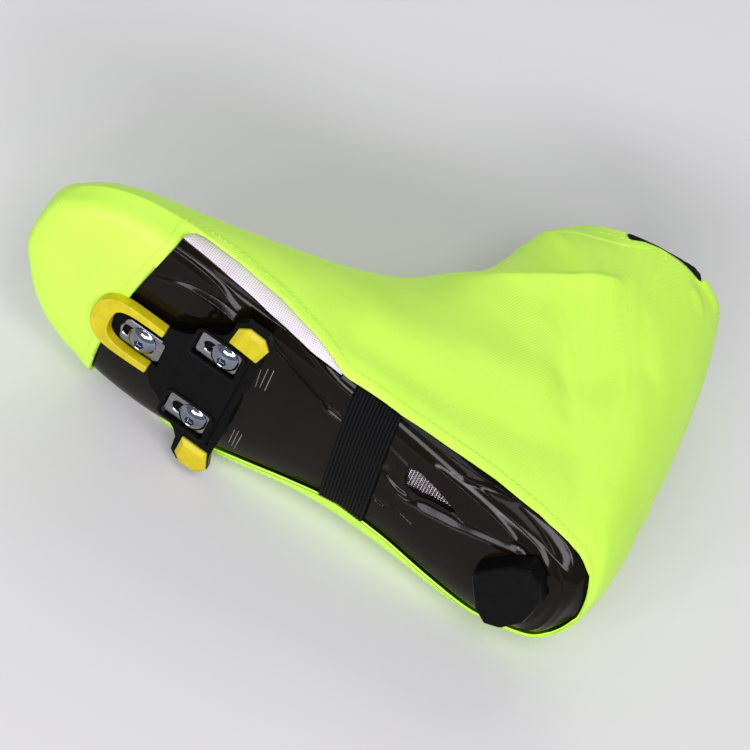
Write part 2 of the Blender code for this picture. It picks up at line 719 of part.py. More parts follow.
def make_cleat(outsole, trees):
    tree = trees[0]
    matrix = cleat_matrix()
    body = add_object("cleat_body", *plate_shape(
        mirrored(cleat_outline(CLEAT_OUTLINE)), cleat_point, ground_of_cleat,
        lambda x, y: min(seat_height(trees, x, y), ground_of_cleat(x, y) + CLEAT_HEIGHT),
        CLEAT_LENGTH / 10))
    bolts = (("front", BOLT_REACH * 2 / 3, 0.0, 0.0),
             ("left", -BOLT_REACH / 3, BOLT_SPREAD / 2, WASHER_SHIFT),
             ("right", -BOLT_REACH / 3, -BOLT_SPREAD / 2, WASHER_SHIFT))
    deep = CLEAT_TREAD + GAP
    nose = cleat_outline(NOSE_OUTER)
    nose_front = CLEAT_TAIL + CLEAT_LENGTH + REBATE_REACH
    nose_back = nose[-1][0] - GAP
    nose_width = 2 * (max(s for _, s in nose) + REBATE_REACH)
    wing = np.array(cleat_outline(WING_PAD))
    wing_low, wing_high = wing.min(0), wing.max(0)
    tip = CLEAT_WIDTH / 2 + REBATE_REACH
    rebates = [prism(box_outline((nose_back + nose_front) / 2, 0.0, nose_front - nose_back,
                                 nose_width), -CUT_BELOW, deep)]
    for side in (1, -1):
        length = wing_high[0] - wing_low[0] + 2 * GAP
        width = tip - wing_low[1] + GAP
        rebates.append(prism(box_outline((wing_low[0] + wing_high[0]) / 2,
                                         side * (tip - width / 2), length, width),
                             -CUT_BELOW, deep))
    cut(body, add_cutter("tread_cutter", rebates, matrix))
    pockets = [prism(box_outline(f + shift, s, WASHER_LENGTH + 2 * GAP,
                                 WASHER_WIDTH + 2 * GAP), -CUT_BELOW, POCKET_DEPTH)
               for _, f, s, shift in bolts]
    cut(body, add_cutter("pocket_cutter", pockets, matrix))
    slots = [prism(box_outline(f, s, SLOT_LENGTH, SLOT_WIDTH), -CUT_BELOW, CUT_ABOVE)
             for _, f, s, _ in bolts]
    cut(body, add_cutter("slot_cutter", slots, matrix))

    treads = {"cleat_nose_pad": mirrored_ring(nose, cleat_outline(NOSE_INNER))}
    for name, side in (("left", 1), ("right", -1)):
        treads["cleat_wing_pad_" + name] = [(f, s * side) for f, s in cleat_outline(WING_PAD)]
    for name, outline in treads.items():
        add_object(name, *plate_shape(
            outline, cleat_point, ground_of_cleat,
            lambda x, y: ground_of_cleat(x, y) + CLEAT_TREAD, CLEAT_LENGTH / 8), "cleat_tread")
    holes = []
    for name, forward, side, shift in bolts:
        x, y, _ = matrix @ Vector((forward, side, POCKET_DEPTH))
        reach = sole_height(tree, x, y) - ground_of_cleat(x, y) + BOLT_GRIP
        make_washer("cleat_washer_" + name, matrix, forward, side, shift)
        make_bolt("cleat_bolt_" + name, matrix, forward, side, reach)
        holes.append(prism(round_outline(forward, side, BOLT_SHANK / 2 + SHANK_PLAY, BOLT_SIDES),
                           -CUT_BELOW, CUT_ABOVE))
    cut(outsole, add_cutter("bolt_cutter", holes, matrix))


def mirrored_ring(outer, inner):
    """A horseshoe: round the outside from one arm's end to the other and back inside."""
    other = [(x, -y) for x, y in outer[1:]]
    round_outside = list(reversed(outer)) + other
    back = [(x, -y) for x, y in inner] + [(x, y) for x, y in reversed(inner[:-1])]
    return round_outside + back


def make_washer(name, matrix, forward, side, shift):
    high = POCKET_DEPTH - GAP
    low = high - WASHER_WALL
    verts, faces = prism(box_outline(forward + shift, side, WASHER_LENGTH, WASHER_WIDTH),
                         low, high)
    washer = add_object(name, [matrix @ Vector(v) for v in verts], faces, "cleat_washer")
    hole = prism(round_outline(forward, side, BOLT_SHANK / 2 + SHANK_PLAY, BOLT_SIDES),
                 -CUT_BELOW, CUT_ABOVE)
    cut(washer, add_cutter(name + "_cutter", [hole], matrix))


def make_bolt(name, matrix, forward, side, reach):
    """A domed head on a shank, turned about the bolt's own axis."""
    seat = POCKET_DEPTH - GAP - WASHER_WALL - GAP
    radius = BOLT_HEAD / 2
    profile = [(0.0, seat - BOLT_DOME), (radius * 0.45, seat - BOLT_DOME * 0.92),
               (radius * 0.78, seat - BOLT_DOME * 0.66), (radius * 0.96, seat - BOLT_DOME * 0.30),
               (radius, seat), (BOLT_SHANK / 2, seat), (BOLT_SHANK / 2, reach), (0.0, reach)]
    sides = BOLT_SIDES
    verts = []
    for r, z in profile:
        if r == 0.0:
            verts.append((forward, side, z))
        else:
            verts += [(x, y, z) for x, y in round_outline(forward, side, r, sides)]
    rings = [list(range(1 + sides * k, 1 + sides * (k + 1))) for k in range(len(profile) - 2)]
    faces = [(0, ring_b, ring_a) for ring_a, ring_b in zip(rings[0], rings[0][1:] + rings[0][:1])]
    for one, two in zip(rings, rings[1:]):
        for i in range(sides):
            j = (i + 1) % sides
            faces.append((one[i], one[j], two[j], two[i]))
    end = len(verts) - 1
    last = rings[-1]
    faces += [(end, a, b) for a, b in zip(last, last[1:] + last[:1])]
    add_object(name, [matrix @ Vector(v) for v in verts], faces, "cleat_bolt")


def middle_of_mass():
    total, moment = 0.0, Vector()
    for name, weight in WEIGHTS.items():
        mesh = bpy.data.objects[name].data
        area = sum(p.area for p in mesh.polygons)
        middle = sum((p.center * p.area for p in mesh.polygons), Vector()) / area
        total += weight
        moment += middle * weight
    return moment / total


def resting_face():
    """The flat of the convex hull, on the outer side, that carries the shoe."""
    work = bmesh.new()
    for obj in SHOE.children:
        if not obj.hide_render:
            work.from_mesh(obj.data)
    hull = bmesh.ops.convex_hull(work, input=work.verts)
    mass = middle_of_mass()
    best, best_face = None, None
    for face in hull["geom"]:
        if not isinstance(face, bmesh.types.BMFace):
            continue
        normal = face.normal
        if normal.y > -0.8:
            continue
        foot = mass - normal * (mass - face.verts[0].co).dot(normal)
        corners = [v.co for v in face.verts]
        margin = min((foot - a).dot(normal.cross(b - a).normalized())
                     for a, b in zip(corners, corners[1:] + corners[:1]))
        if best is None or margin > best:
            best, best_face = margin, (normal.copy(), corners[0].copy())
    work.free()
    return best_face


def lay_down():
    """Turns the shoe onto its outer side, toe to -X, with the floor at Z 0."""
    down, foot = resting_face()
    up = -down
    toe = Vector((1, 0, 0))
    toe = (toe - up * toe.dot(up)).normalized()
    turn = Matrix((-toe, toe.cross(up), up)).to_4x4()
    SHOE.matrix_world = turn
    corners = np.array([turn @ v.co for obj in SHOE.children if not obj.hide_render
                        for v in obj.data.vertices])
    low, high = corners.min(0), corners.max(0)
    shift = Matrix.Translation((-(low[0] + high[0]) / 2, -(low[1] + high[1]) / 2, -low[2]))
    SHOE.matrix_world = shift @ turn


clear_scene()
SHOE = bpy.data.objects.new("shoe", None)
bpy.context.collection.objects.link(SHOE)
even_form, outsole_object, cover_object = make_shells()
shell_trees = (tree_of(outsole_object), tree_of(cover_object))
make_tape(even_form)
make_grooves(outsole_object, shell_trees[0])
make_vent(outsole_object, shell_trees[0])
make_pad(shell_trees)
make_cleat(outsole_object, shell_trees)
lay_down()
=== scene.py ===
"""Looks for the cycling overshoe on its road shoe, lying on its outer side.

Each soft or moulded piece is drawn in the shoe's own frame, in metres: X from heel to
toe, Y to the inner side, Z up from the ground that the cleat and the heel pad stand on.
TO_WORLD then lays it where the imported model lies.
"""

import json
import math

import bmesh
import bpy
import numpy as np
from mathutils import Matrix, Vector


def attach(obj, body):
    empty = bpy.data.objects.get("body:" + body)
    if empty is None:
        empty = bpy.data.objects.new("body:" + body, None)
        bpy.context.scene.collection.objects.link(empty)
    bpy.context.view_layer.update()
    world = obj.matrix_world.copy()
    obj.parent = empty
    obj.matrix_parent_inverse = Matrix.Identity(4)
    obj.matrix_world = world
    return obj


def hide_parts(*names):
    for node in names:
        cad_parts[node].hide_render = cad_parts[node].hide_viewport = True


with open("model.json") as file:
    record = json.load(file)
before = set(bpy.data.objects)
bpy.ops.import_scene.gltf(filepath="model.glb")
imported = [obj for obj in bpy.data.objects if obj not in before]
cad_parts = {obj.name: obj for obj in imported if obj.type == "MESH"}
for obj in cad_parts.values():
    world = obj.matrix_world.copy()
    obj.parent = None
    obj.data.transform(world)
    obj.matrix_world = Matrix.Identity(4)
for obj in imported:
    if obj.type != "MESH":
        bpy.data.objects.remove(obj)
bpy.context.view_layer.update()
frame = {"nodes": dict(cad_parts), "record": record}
MM = 0.001

# The shoe's sizes
LENGTH = 0.280
BALL_WIDTH = 0.100
SOLE_LIFT = 0.010
INSTEP_HEIGHT = 0.123
COLLAR_FRONT_HEIGHT = 0.1785
COLLAR_BACK_HEIGHT = 0.190

# Walls and clearances
FABRIC = 0.0013
SKIN = 0.0018
UPPER_WALL = 0.0018
SOLE_WALL = 0.0028
BED = 0.0051
BED_WALL = 0.0025
BED_DISH = 0.0050
RIM_GAP = 0.0005
BED_SECTIONS = (3.2, 15.2)
SECTION_STEP = 0.01
COUNTER = 0.00135
COUNTER_WALL = 0.0004
COUNTER_LAP = 0.0012
COUNTER_HEIGHT = 0.0160
COUNTER_SLANT = 0.4

# The fabric's hems and their seams
HEM_BAND = 0.0052
HEM_RISE = 0.00035
HEM_EASE = 0.0009
HEM_GAP = 0.00015
HEM_SEAM = 0.0043
COLLAR_SEAM = 0.0062
STITCH_PITCH = 0.0030
STITCH_LENGTH = 0.0023
STITCH_THREAD = 0.00032
STITCH_RIDE = 0.25

# The opening underneath, the strap, the vent and the heel pad
TOE_COVER_EDGE = 0.2290
TOE_COVER_BOW = 0.0045
CORNER_BLEND = 0.0060
STRAP_FROM_HEEL = 0.1141
STRAP_WIDTH = 0.0213
STRAP_SLANT = 0.215
STRAP_WALL = 0.0014
RIB_PITCH = 0.00152
RIB_RADIUS = 0.00068
RIB_SINK = 0.00025
RIB_END = 0.0004
PAD_FROM_HEEL = 0.0350
COUNTER_FROM_HEEL = 0.1405
WIRE_PITCH = 0.00095
WIRE_RADIUS = 0.00020
WIRE_DEPTH = 0.0031
WIRE_TURN = math.radians(38)
WIRE_REACH = 0.018
WIRE_LAP = 0.0012
MARK_RADIUS = 0.00020
MARK_SINK = 0.6

# The grip tape inside the collar
TAPE_FROM = math.radians(56.25)
TAPE_TO = math.radians(112.5)
TAPE_DEPTH = 0.0090
TAPE_RISE = 0.0040
TAPE_WALL = 0.0010
TAPE_GAP = 0.0001
TAPE_ROUND = 0.0004
# Two waves along its ragged edge: how high each is, as a share, and how fast it runs
TAPE_RAGGED = ((0.05, 61), (0.04, 137))
# How far that edge stands above the fabric, in shares of TAPE_RISE along the tape, and how
# far the fabric is trimmed over it, in millimetres
TAPE_EDGE = ((0.00, 0.10), (0.03, 0.50), (0.14, 0.60), (0.30, 0.25), (0.50, 0.00), (0.75, 0.00),
             (0.90, 0.15), (0.98, 0.20), (1.00, 0.05))
TAPE_BARE = ((0.00, 0.0), (0.03, 3.0), (0.15, 2.8), (0.35, 1.6), (0.60, 1.6), (0.80, 2.6),
             (0.92, 4.4), (0.975, 4.4), (1.00, 0.0))
COLLAR_TRIM = 0.0010

# The cleat and its bolts
CLEAT_FROM_HEEL = 0.1932
CLEAT_SIDE = -0.0014
CLEAT_TURN = -0.090
CLEAT_TILT = 0.105
CLEAT_LENGTH = 0.0740
CLEAT_WIDTH = 0.0970
CLEAT_BEHIND_ORIGIN = 0.355
CLEAT_TAIL = -CLEAT_LENGTH * CLEAT_BEHIND_ORIGIN
CLEAT_FACE = 0.00215
CLEAT_EDGE = 0.0007
TREAD_EDGE = 0.0003
PAD_EDGE = 0.0011
BOLT_SPREAD = 0.0430
BOLT_REACH = 0.0333
BOLT_HEAD = 0.0130
BOLT_DOME = 0.0029
BOLT_SKIRT = 0.0004
BOLT_CHAMFER = 0.0002
BOLT_GAP = 0.0001
BOLT_SHANK = 0.0050
SHANK_LENGTH = 0.0090
BOLT_KEY = 0.0040
KEY_DEPTH = 0.0019
KEY_DIP = 0.0002
KEY_CHAMFER = 0.0004
KEY_RIM = 0.00025
KEY_LAND = 0.0009
PLATE_LENGTH = 0.0198
PLATE_WIDTH = 0.0136
PLATE_LOW = 0.0033
PLATE_WALL = 0.0016
PLATE_CORNER = 0.0026
PLATE_EDGE = 0.0003
PLATE_SHIFT = 0.0030
SLOT_SHIFT = 0.0038
SLOT_LENGTH = 0.0128
SLOT_WIDTH = 0.0060
SLOT_EDGE = 0.0004
NOSE_WALL = 0.0046
NOSE_LIP = 0.0050
NOSE_SIDE = 0.0018
NOSE_SEAT = 0.0004
NOSE_CLEAR = 0.0006
NOSE_COVER = 0.0003
WING_WALL = 0.0042
WING_SKIRT = 0.0015
WING_GROWTH = 0.0005
WING_SLOPE = 0.0016
BOLTS = (("front", BOLT_REACH * 2 / 3, 0.0, 0.0),
         ("left", -BOLT_REACH / 3, BOLT_SPREAD / 2, PLATE_SHIFT),
         ("right", -BOLT_REACH / 3, -BOLT_SPREAD / 2, PLATE_SHIFT))

# Outlines of the yellow treads, and of the body behind the nose, in shares of the cleat's
# length and half width. The nose's and the body's are halves, from the front or the back.
NOSE_OUTER = ((0.980, 0.0), (0.971, 0.100), (0.945, 0.195), (0.885, 0.275), (0.800, 0.304),
              (0.680, 0.305), (0.556, 0.298))
NOSE_INNER = ((0.556, 0.218), (0.680, 0.221), (0.790, 0.203), (0.848, 0.135), (0.862, 0.0))
BEHIND_NOSE = ((0.520, 0.400), (0.450, 0.520), (0.380, 0.700), (0.320, 1.200), (-0.200, 1.200))
LEFT_WING = ((0.215, 0.690), (0.203, 0.885), (0.150, 0.955), (0.055, 0.945), (0.012, 0.860),
             (0.042, 0.665))
RIGHT_WING = ((0.195, 0.710), (0.195, 0.910), (0.155, 0.985), (0.045, 0.985), (0.004, 0.890),
              (0.040, 0.715))

# The raised frame round a side plate, from its outer foot to its inner one: its length,
# its width, and how deep it lies in the cleat's face, negative where it stands out
BEAD_CORNER = 0.0030
BEAD = ((0.0243, 0.0181, 0.0002), (0.0239, 0.0177, -0.0005),
        (0.0217, 0.0155, -0.0005), (0.0213, 0.0151, 0.0002))

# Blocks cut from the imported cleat's body, in the cleat's own forward, side and height:
# each one's middle, its length and width, its corners, and the heights it lies between
CUT_LOW = -0.020
CUT_START = -0.010
CUT_HIGH = 0.040
CUT_BEYOND = 2.2
WING_BLOCK = (0.032, 0.030), 0.0020, (0.0054, 0.030)
CUT_BLOCKS = {
    "face": ((0, 0), (CLEAT_LENGTH * 2, CLEAT_LENGTH * 2), 0.0020, (CUT_LOW, CLEAT_FACE)),
    "tail_slit": ((CLEAT_TAIL + 0.0046, 0), (0.0011, CLEAT_WIDTH * 0.62), 0.0004,
                  (CUT_START, CLEAT_FACE + 0.0009)),
    "front": ((CLEAT_TAIL + CLEAT_LENGTH, 0), (0.034, CLEAT_WIDTH), 0.0020, (0.0066, 0.030)),
    "left_wing": ((CLEAT_TAIL + 0.006, CLEAT_WIDTH / 2), *WING_BLOCK),
    "right_wing": ((CLEAT_TAIL + 0.006, -CLEAT_WIDTH / 2), *WING_BLOCK),
}

# How finely the pieces are drawn: section numbers with the steps between them, columns
# round a section, and how many degrees those reach on each side of the sole's middle
SOCK_STATIONS = (0, 0.2, 5, 0.12, 16, 0.1, 23)
SOCK_COLUMNS = 200
SOLE_STATIONS = (0, 0.16, 5, 0.07, 17.5, 0.1, 19)
SOLE_COLUMNS = 151
SOLE_TOP_COLUMNS = 16
SOLE_SPAN = 100
SOLE_CROWDING = 1.5
STRAP_STATIONS = (9.2, 0.05, 12.6)
STRAP_COLUMNS = 121
STRAP_SPAN = 100
TAPE_POINTS = 70
MARK_POINTS = 9
LEAST_WIRE = 3
BAR_SIDES = 7
DOME_RINGS = 14
ROUND_POINTS = 48
CUT_POINTS = 16

# Lines of relief narrower than this many millimetres are split finely on the fabric, and
# the passes that split say how many of a line's widths they reach.
FINE_FOLD = 7
FABRIC_PASSES = (0.8,)
SOLE_PASSES = (1.9, 1.1)

# Edges sharper than these angles are rounded or kept sharp; flatter faces become one.
ROUNDED_FROM = math.radians(28)
PLATE_SHARP_FROM = math.radians(35)
BOLT_SHARP_FROM = math.radians(38)
FLAT_UNDER = math.radians(2)
MERGE_WITHIN = 0.00002

# How the shoe lies: the turns of its outer side on the floor
LYING_YAW = math.radians(4.5377)
LYING_PITCH = math.radians(-2.7173)

# The camera, fitted to the photo: where it looks from in the shoe's own frame
CAMERA_AROUND = math.radians(4.77)
CAMERA_BELOW = math.radians(-40.83)
CAMERA_ROLL = math.radians(146.06)
CAMERA_DISTANCE = 2.074
CAMERA_LENS = 240
CAMERA_AIM = (0.1300, 0.0, 0.0600)
AIM_SHIFT = (0.00337, -0.00202)

# The studio: each lamp's place, its width and height, its power and its colour
LAMP_AIM = (0, 0, 0.03)
LAMPS = {
    "softbox": ((0.86, -2.83, 1.68), (2.3, 0.62), 62, "#fbf7ff"),
    "side_box": ((-0.86, -2.88, 1.48), (1.7, 0.62), 42, "#f6f0ff"),
    "ceiling": ((0.8, -1.2, 3.1), (1.6, 1.6), 30, "#ffffff"),
    "back": ((-0.4, 2.7, 2.2), (3.4, 2.2), 32, "#ffffff"),
}
ROOM_LIGHT = 0.46
FLOOR_REACH = 12.0

# The way a polished facet of the sole faces when it catches the softbox
SHINE = (-0.06, 0.64, -0.76)

# Sections of the covered shoe, from the toe to the collar.
# low_x and top_x are shares of LENGTH: the section's lowest and highest point.
# lift is a share of SOLE_LIFT and rise one of the collar's back height.
# instep is a share of INSTEP_HEIGHT, and shaft one of what the collar rises above it.
# inner and outer are half widths and swing is the middle's drift, in BALL_WIDTH.
# widest is where the section is widest, from its lowest point to its highest.
# keel and crown are the exponents of the curve below and above that.
FORM_COLUMNS = (
    "low_x", "lift", "rise", "top_x", "instep", "shaft",
    "inner", "outer", "widest", "keel", "crown", "swing",
)
FORM = (
    (0.992, 2.25, 0.000, 0.992, 0.244, 0.00, 0.020, 0.020, 0.50, 2.00, 2.0, 0.080),
    (0.990, 1.95, 0.000, 0.990, 0.276, 0.00, 0.110, 0.110, 0.40, 2.40, 2.2, 0.085),
    (0.982, 1.67, 0.000, 0.982, 0.305, 0.00, 0.190, 0.165, 0.37, 2.80, 2.3, 0.075),
    (0.964, 1.45, 0.000, 0.964, 0.333, 0.00, 0.265, 0.225, 0.35, 3.10, 2.3, 0.060),
    (0.934, 1.30, 0.000, 0.934, 0.366, 0.00, 0.360, 0.325, 0.33, 3.30, 2.3, 0.040),
    (0.886, 1.28, 0.000, 0.886, 0.411, 0.00, 0.435, 0.425, 0.31, 3.40, 2.3, 0.015),
    (0.807, 1.12, 0.000, 0.807, 0.472, 0.00, 0.483, 0.500, 0.29, 3.40, 2.2, 0.000),
    (0.714, 0.95, 0.000, 0.714, 0.557, 0.00, 0.490, 0.530, 0.26, 3.30, 2.2, 0.000),
    (0.636, 0.90, 0.000, 0.636, 0.646, 0.00, 0.475, 0.520, 0.25, 3.20, 2.1, 0.000),
    (0.554, 1.00, 0.000, 0.557, 0.756, 0.00, 0.440, 0.495, 0.23, 3.10, 2.0, 0.000),
    (0.471, 1.20, 0.000, 0.486, 0.874, 0.00, 0.400, 0.470, 0.22, 3.10, 2.0, 0.000),
    (0.393, 1.25, 0.000, 0.425, 1.000, 0.00, 0.370, 0.450, 0.20, 3.10, 2.1, 0.000),
    (0.304, 1.05, 0.000, 0.391, 1.000, 0.25, 0.355, 0.440, 0.19, 3.10, 2.3, 0.000),
    (0.214, 0.70, 0.000, 0.377, 1.000, 0.44, 0.345, 0.430, 0.19, 3.10, 2.5, 0.000),
    (0.125, 0.45, 0.000, 0.368, 1.000, 0.58, 0.345, 0.410, 0.19, 3.10, 2.6, 0.000),
    (0.050, 0.50, 0.000, 0.363, 1.000, 0.685, 0.340, 0.380, 0.21, 2.80, 2.7, 0.000),
    (0.024, 0.87, 0.000, 0.360, 1.000, 0.72, 0.343, 0.370, 0.23, 2.65, 2.7, 0.000),
    (0.005, 1.00, 0.026, 0.357, 1.000, 0.76, 0.345, 0.360, 0.25, 2.50, 2.7, 0.000),
    (-0.007, 1.00, 0.137, 0.354, 1.000, 0.81, 0.350, 0.350, 0.30, 2.20, 2.7, 0.000),
    (-0.009, 1.00, 0.295, 0.350, 1.000, 0.86, 0.360, 0.345, 0.38, 2.10, 2.7, 0.000),
    (-0.005, 1.00, 0.458, 0.346, 1.000, 0.89, 0.360, 0.350, 0.45, 2.10, 2.5, 0.000),
    (0.002, 1.00, 0.632, 0.343, 1.000, 0.93, 0.355, 0.350, 0.50, 2.10, 2.2, 0.000),
    (0.014, 1.00, 0.800, 0.339, 1.000, 0.96, 0.340, 0.345, 0.50, 2.00, 2.0, 0.000),
    (0.034, 1.00, 0.947, 0.334, 1.000, 1.00, 0.320, 0.340, 0.50, 2.00, 1.9, 0.000),
)

# The overshoe's lower edge on each side, as a share of BALL_WIDTH round the section
# from the middle of the sole, the height where the sole ends, and the height of the
# shoe's own topline, both as shares of the collar's back height.
EDGE_COLUMNS = ("section", "hem_in", "hem_out", "rim", "topline")
EDGES = (
    (0.0, 0.560, 0.500, 0.140, 2.000),
    (4.0, 0.560, 0.500, 0.136, 2.000),
    (5.0, 0.565, 0.500, 0.130, 2.000),
    (6.0, 0.580, 0.550, 0.123, 2.000),
    (6.5, 0.608, 0.600, 0.112, 2.000),
    (7.0, 0.602, 0.605, 0.100, 2.000),
    (8.0, 0.562, 0.510, 0.088, 2.000),
    (9.0, 0.475, 0.410, 0.086, 2.000),
    (9.7, 0.383, 0.362, 0.094, 2.000),
    (10.5, 0.370, 0.308, 0.102, 0.700),
    (11.0, 0.360, 0.280, 0.105, 0.580),
    (12.0, 0.372, 0.285, 0.105, 0.450),
    (13.0, 0.400, 0.312, 0.105, 0.350),
    (14.0, 0.402, 0.345, 0.105, 0.315),
    (15.0, 0.345, 0.260, 0.110, 0.330),
    (16.0, 0.250, 0.165, 0.115, 0.350),
    (17.0, -0.120, -0.120, 0.120, 0.370),
    (19.0, -0.500, -0.500, 0.120, 0.385),
    (23.0, -0.500, -0.500, 0.120, 0.385),
)

# Relief is drawn along lines, in millimetres of the shoe's own frame: its kind, how high
# it stands, how wide it is, and the points that its line runs through.
# swell: a soft ridge, or a trough where its height is negative.
# crest: a sharp ridge that falls off slowly on both sides.
# step: a fold that stands on one side of its line.
# groove: a narrow channel.
# facet: a band turned towards the softbox. It has no height; its width is each point's
#   fourth number, and the line's own width is how far it blends in beside that.
CLOTH_RELIEF = (
    ("crest", 4.4, 30.0, ((131, -14, 100), (121, 4, 112), (109, 20, 116), (104, 23, 121),
                          (96, 25, 127), (85, 27, 136), (75, 31, 141), (64, 35, 148),
                          (50, 35, 158))),
    ("step", 1.0, 7.0, ((58, 35, 152), (66, 34, 146), (75, 31, 141), (85, 27, 136),
                        (96, 25, 127), (103, 23, 122))),
    ("swell", -1.6, 9.0, ((160, 44, 30), (137, 41, 37), (112, 37, 41), (88, 35, 44),
                          (65, 34, 50), (43, 34, 57), (27, 34, 62))),
    ("swell", 1.3, 12.0, ((150, 41, 52), (130, 38, 58), (104, 35, 69), (77, 33, 78),
                          (60, 33, 90))),
    ("swell", -0.9, 8.0, ((66, 33, 84), (53, 34, 92), (41, 36, 105), (27, 34, 121))),
    ("swell", -0.6, 6.0, ((57, 34, 78), (44, 35, 72), (33, 35, 66))),
    ("swell", 0.9, 14.0, ((96, 28, 108), (72, 33, 118), (52, 35, 132), (33, 34, 150))),
    ("crest", 1.3, 7.0, ((274, 27, 28), (271, 31, 27.5), (263, 38.5, 27.5), (254, 43, 28.6),
                         (243, 45.5, 29.5), (232, 47, 29.5), (223, 48, 28.8), (210, 49, 28))),
    ("step", 0.35, 6.0, ((97, 14, 166), (92, 20, 167), (86, 24, 168.5), (76, 29, 169),
                        (65, 32, 172), (52, 33.5, 180))),
    ("swell", -0.6, 2.4, ((34, 30, 179), (28, 28.5, 181), (24, 25.5, 181), (17, 20, 182))),
    ("swell", -0.5, 2.0, ((31, 29, 184), (25, 26, 177), (19, 22, 170))),
    ("swell", 1.0, 3.2, ((32, 30, 175), (26, 26.5, 173), (22, 24, 167))),
    ("swell", 0.8, 3.0, ((30, 29, 187), (22, 24, 185), (14, 16, 184))),
    ("swell", -0.7, 1.8, ((247, -32, 14.2), (241.7, -34.7, 14.3), (236, -39, 15.1))),
    ("swell", -0.6, 1.6, ((240, -38, 15.2), (235, -43, 16.6), (231, -45, 18))),
    ("swell", 1.3, 12.0, ((112, -41, 62), (88, -40, 74), (60, -37, 90), (40, -35, 104))),
    ("swell", -1.3, 9.0, ((118, -43, 40), (92, -41, 44), (65, -39, 52), (43, -37, 60))),
    ("crest", 2.2, 24.0, ((106, -22, 121), (88, -30, 134), (66, -34, 146), (50, -35, 158))),
    ("swell", -0.7, 7.0, ((6, 22, 66), (-1, 9, 62), (-1, -9, 60), (6, -22, 64))),
    ("swell", -0.6, 6.0, ((8, 24, 84), (1, 8, 82), (1, -10, 80), (8, -24, 84))),
)

# How the kinds of relief are shaped: how many widths, and millimetres more, a line is
# felt over; the share of its length over which an end fades; the share of its width over
# which a fold climbs; the widths a facet reaches beside its band, its least blend as a
# share of the band, and the steepest it is turned, in radians; a groove's flat floor and
# the widths its ends take; and the least width, in millimetres, that is split finely.
FELT_WIDTHS = 2.6
FELT_MORE = 6
END_FADE = 0.14
FOLD_CLIMB = 0.22
FACET_REACH = 2
FACET_BLEND = 0.6
FACET_STEEPEST = 0.8
GROOVE_FLOOR = 0.35
GROOVE_END = 1.5
LEAST_BAND = 2.0

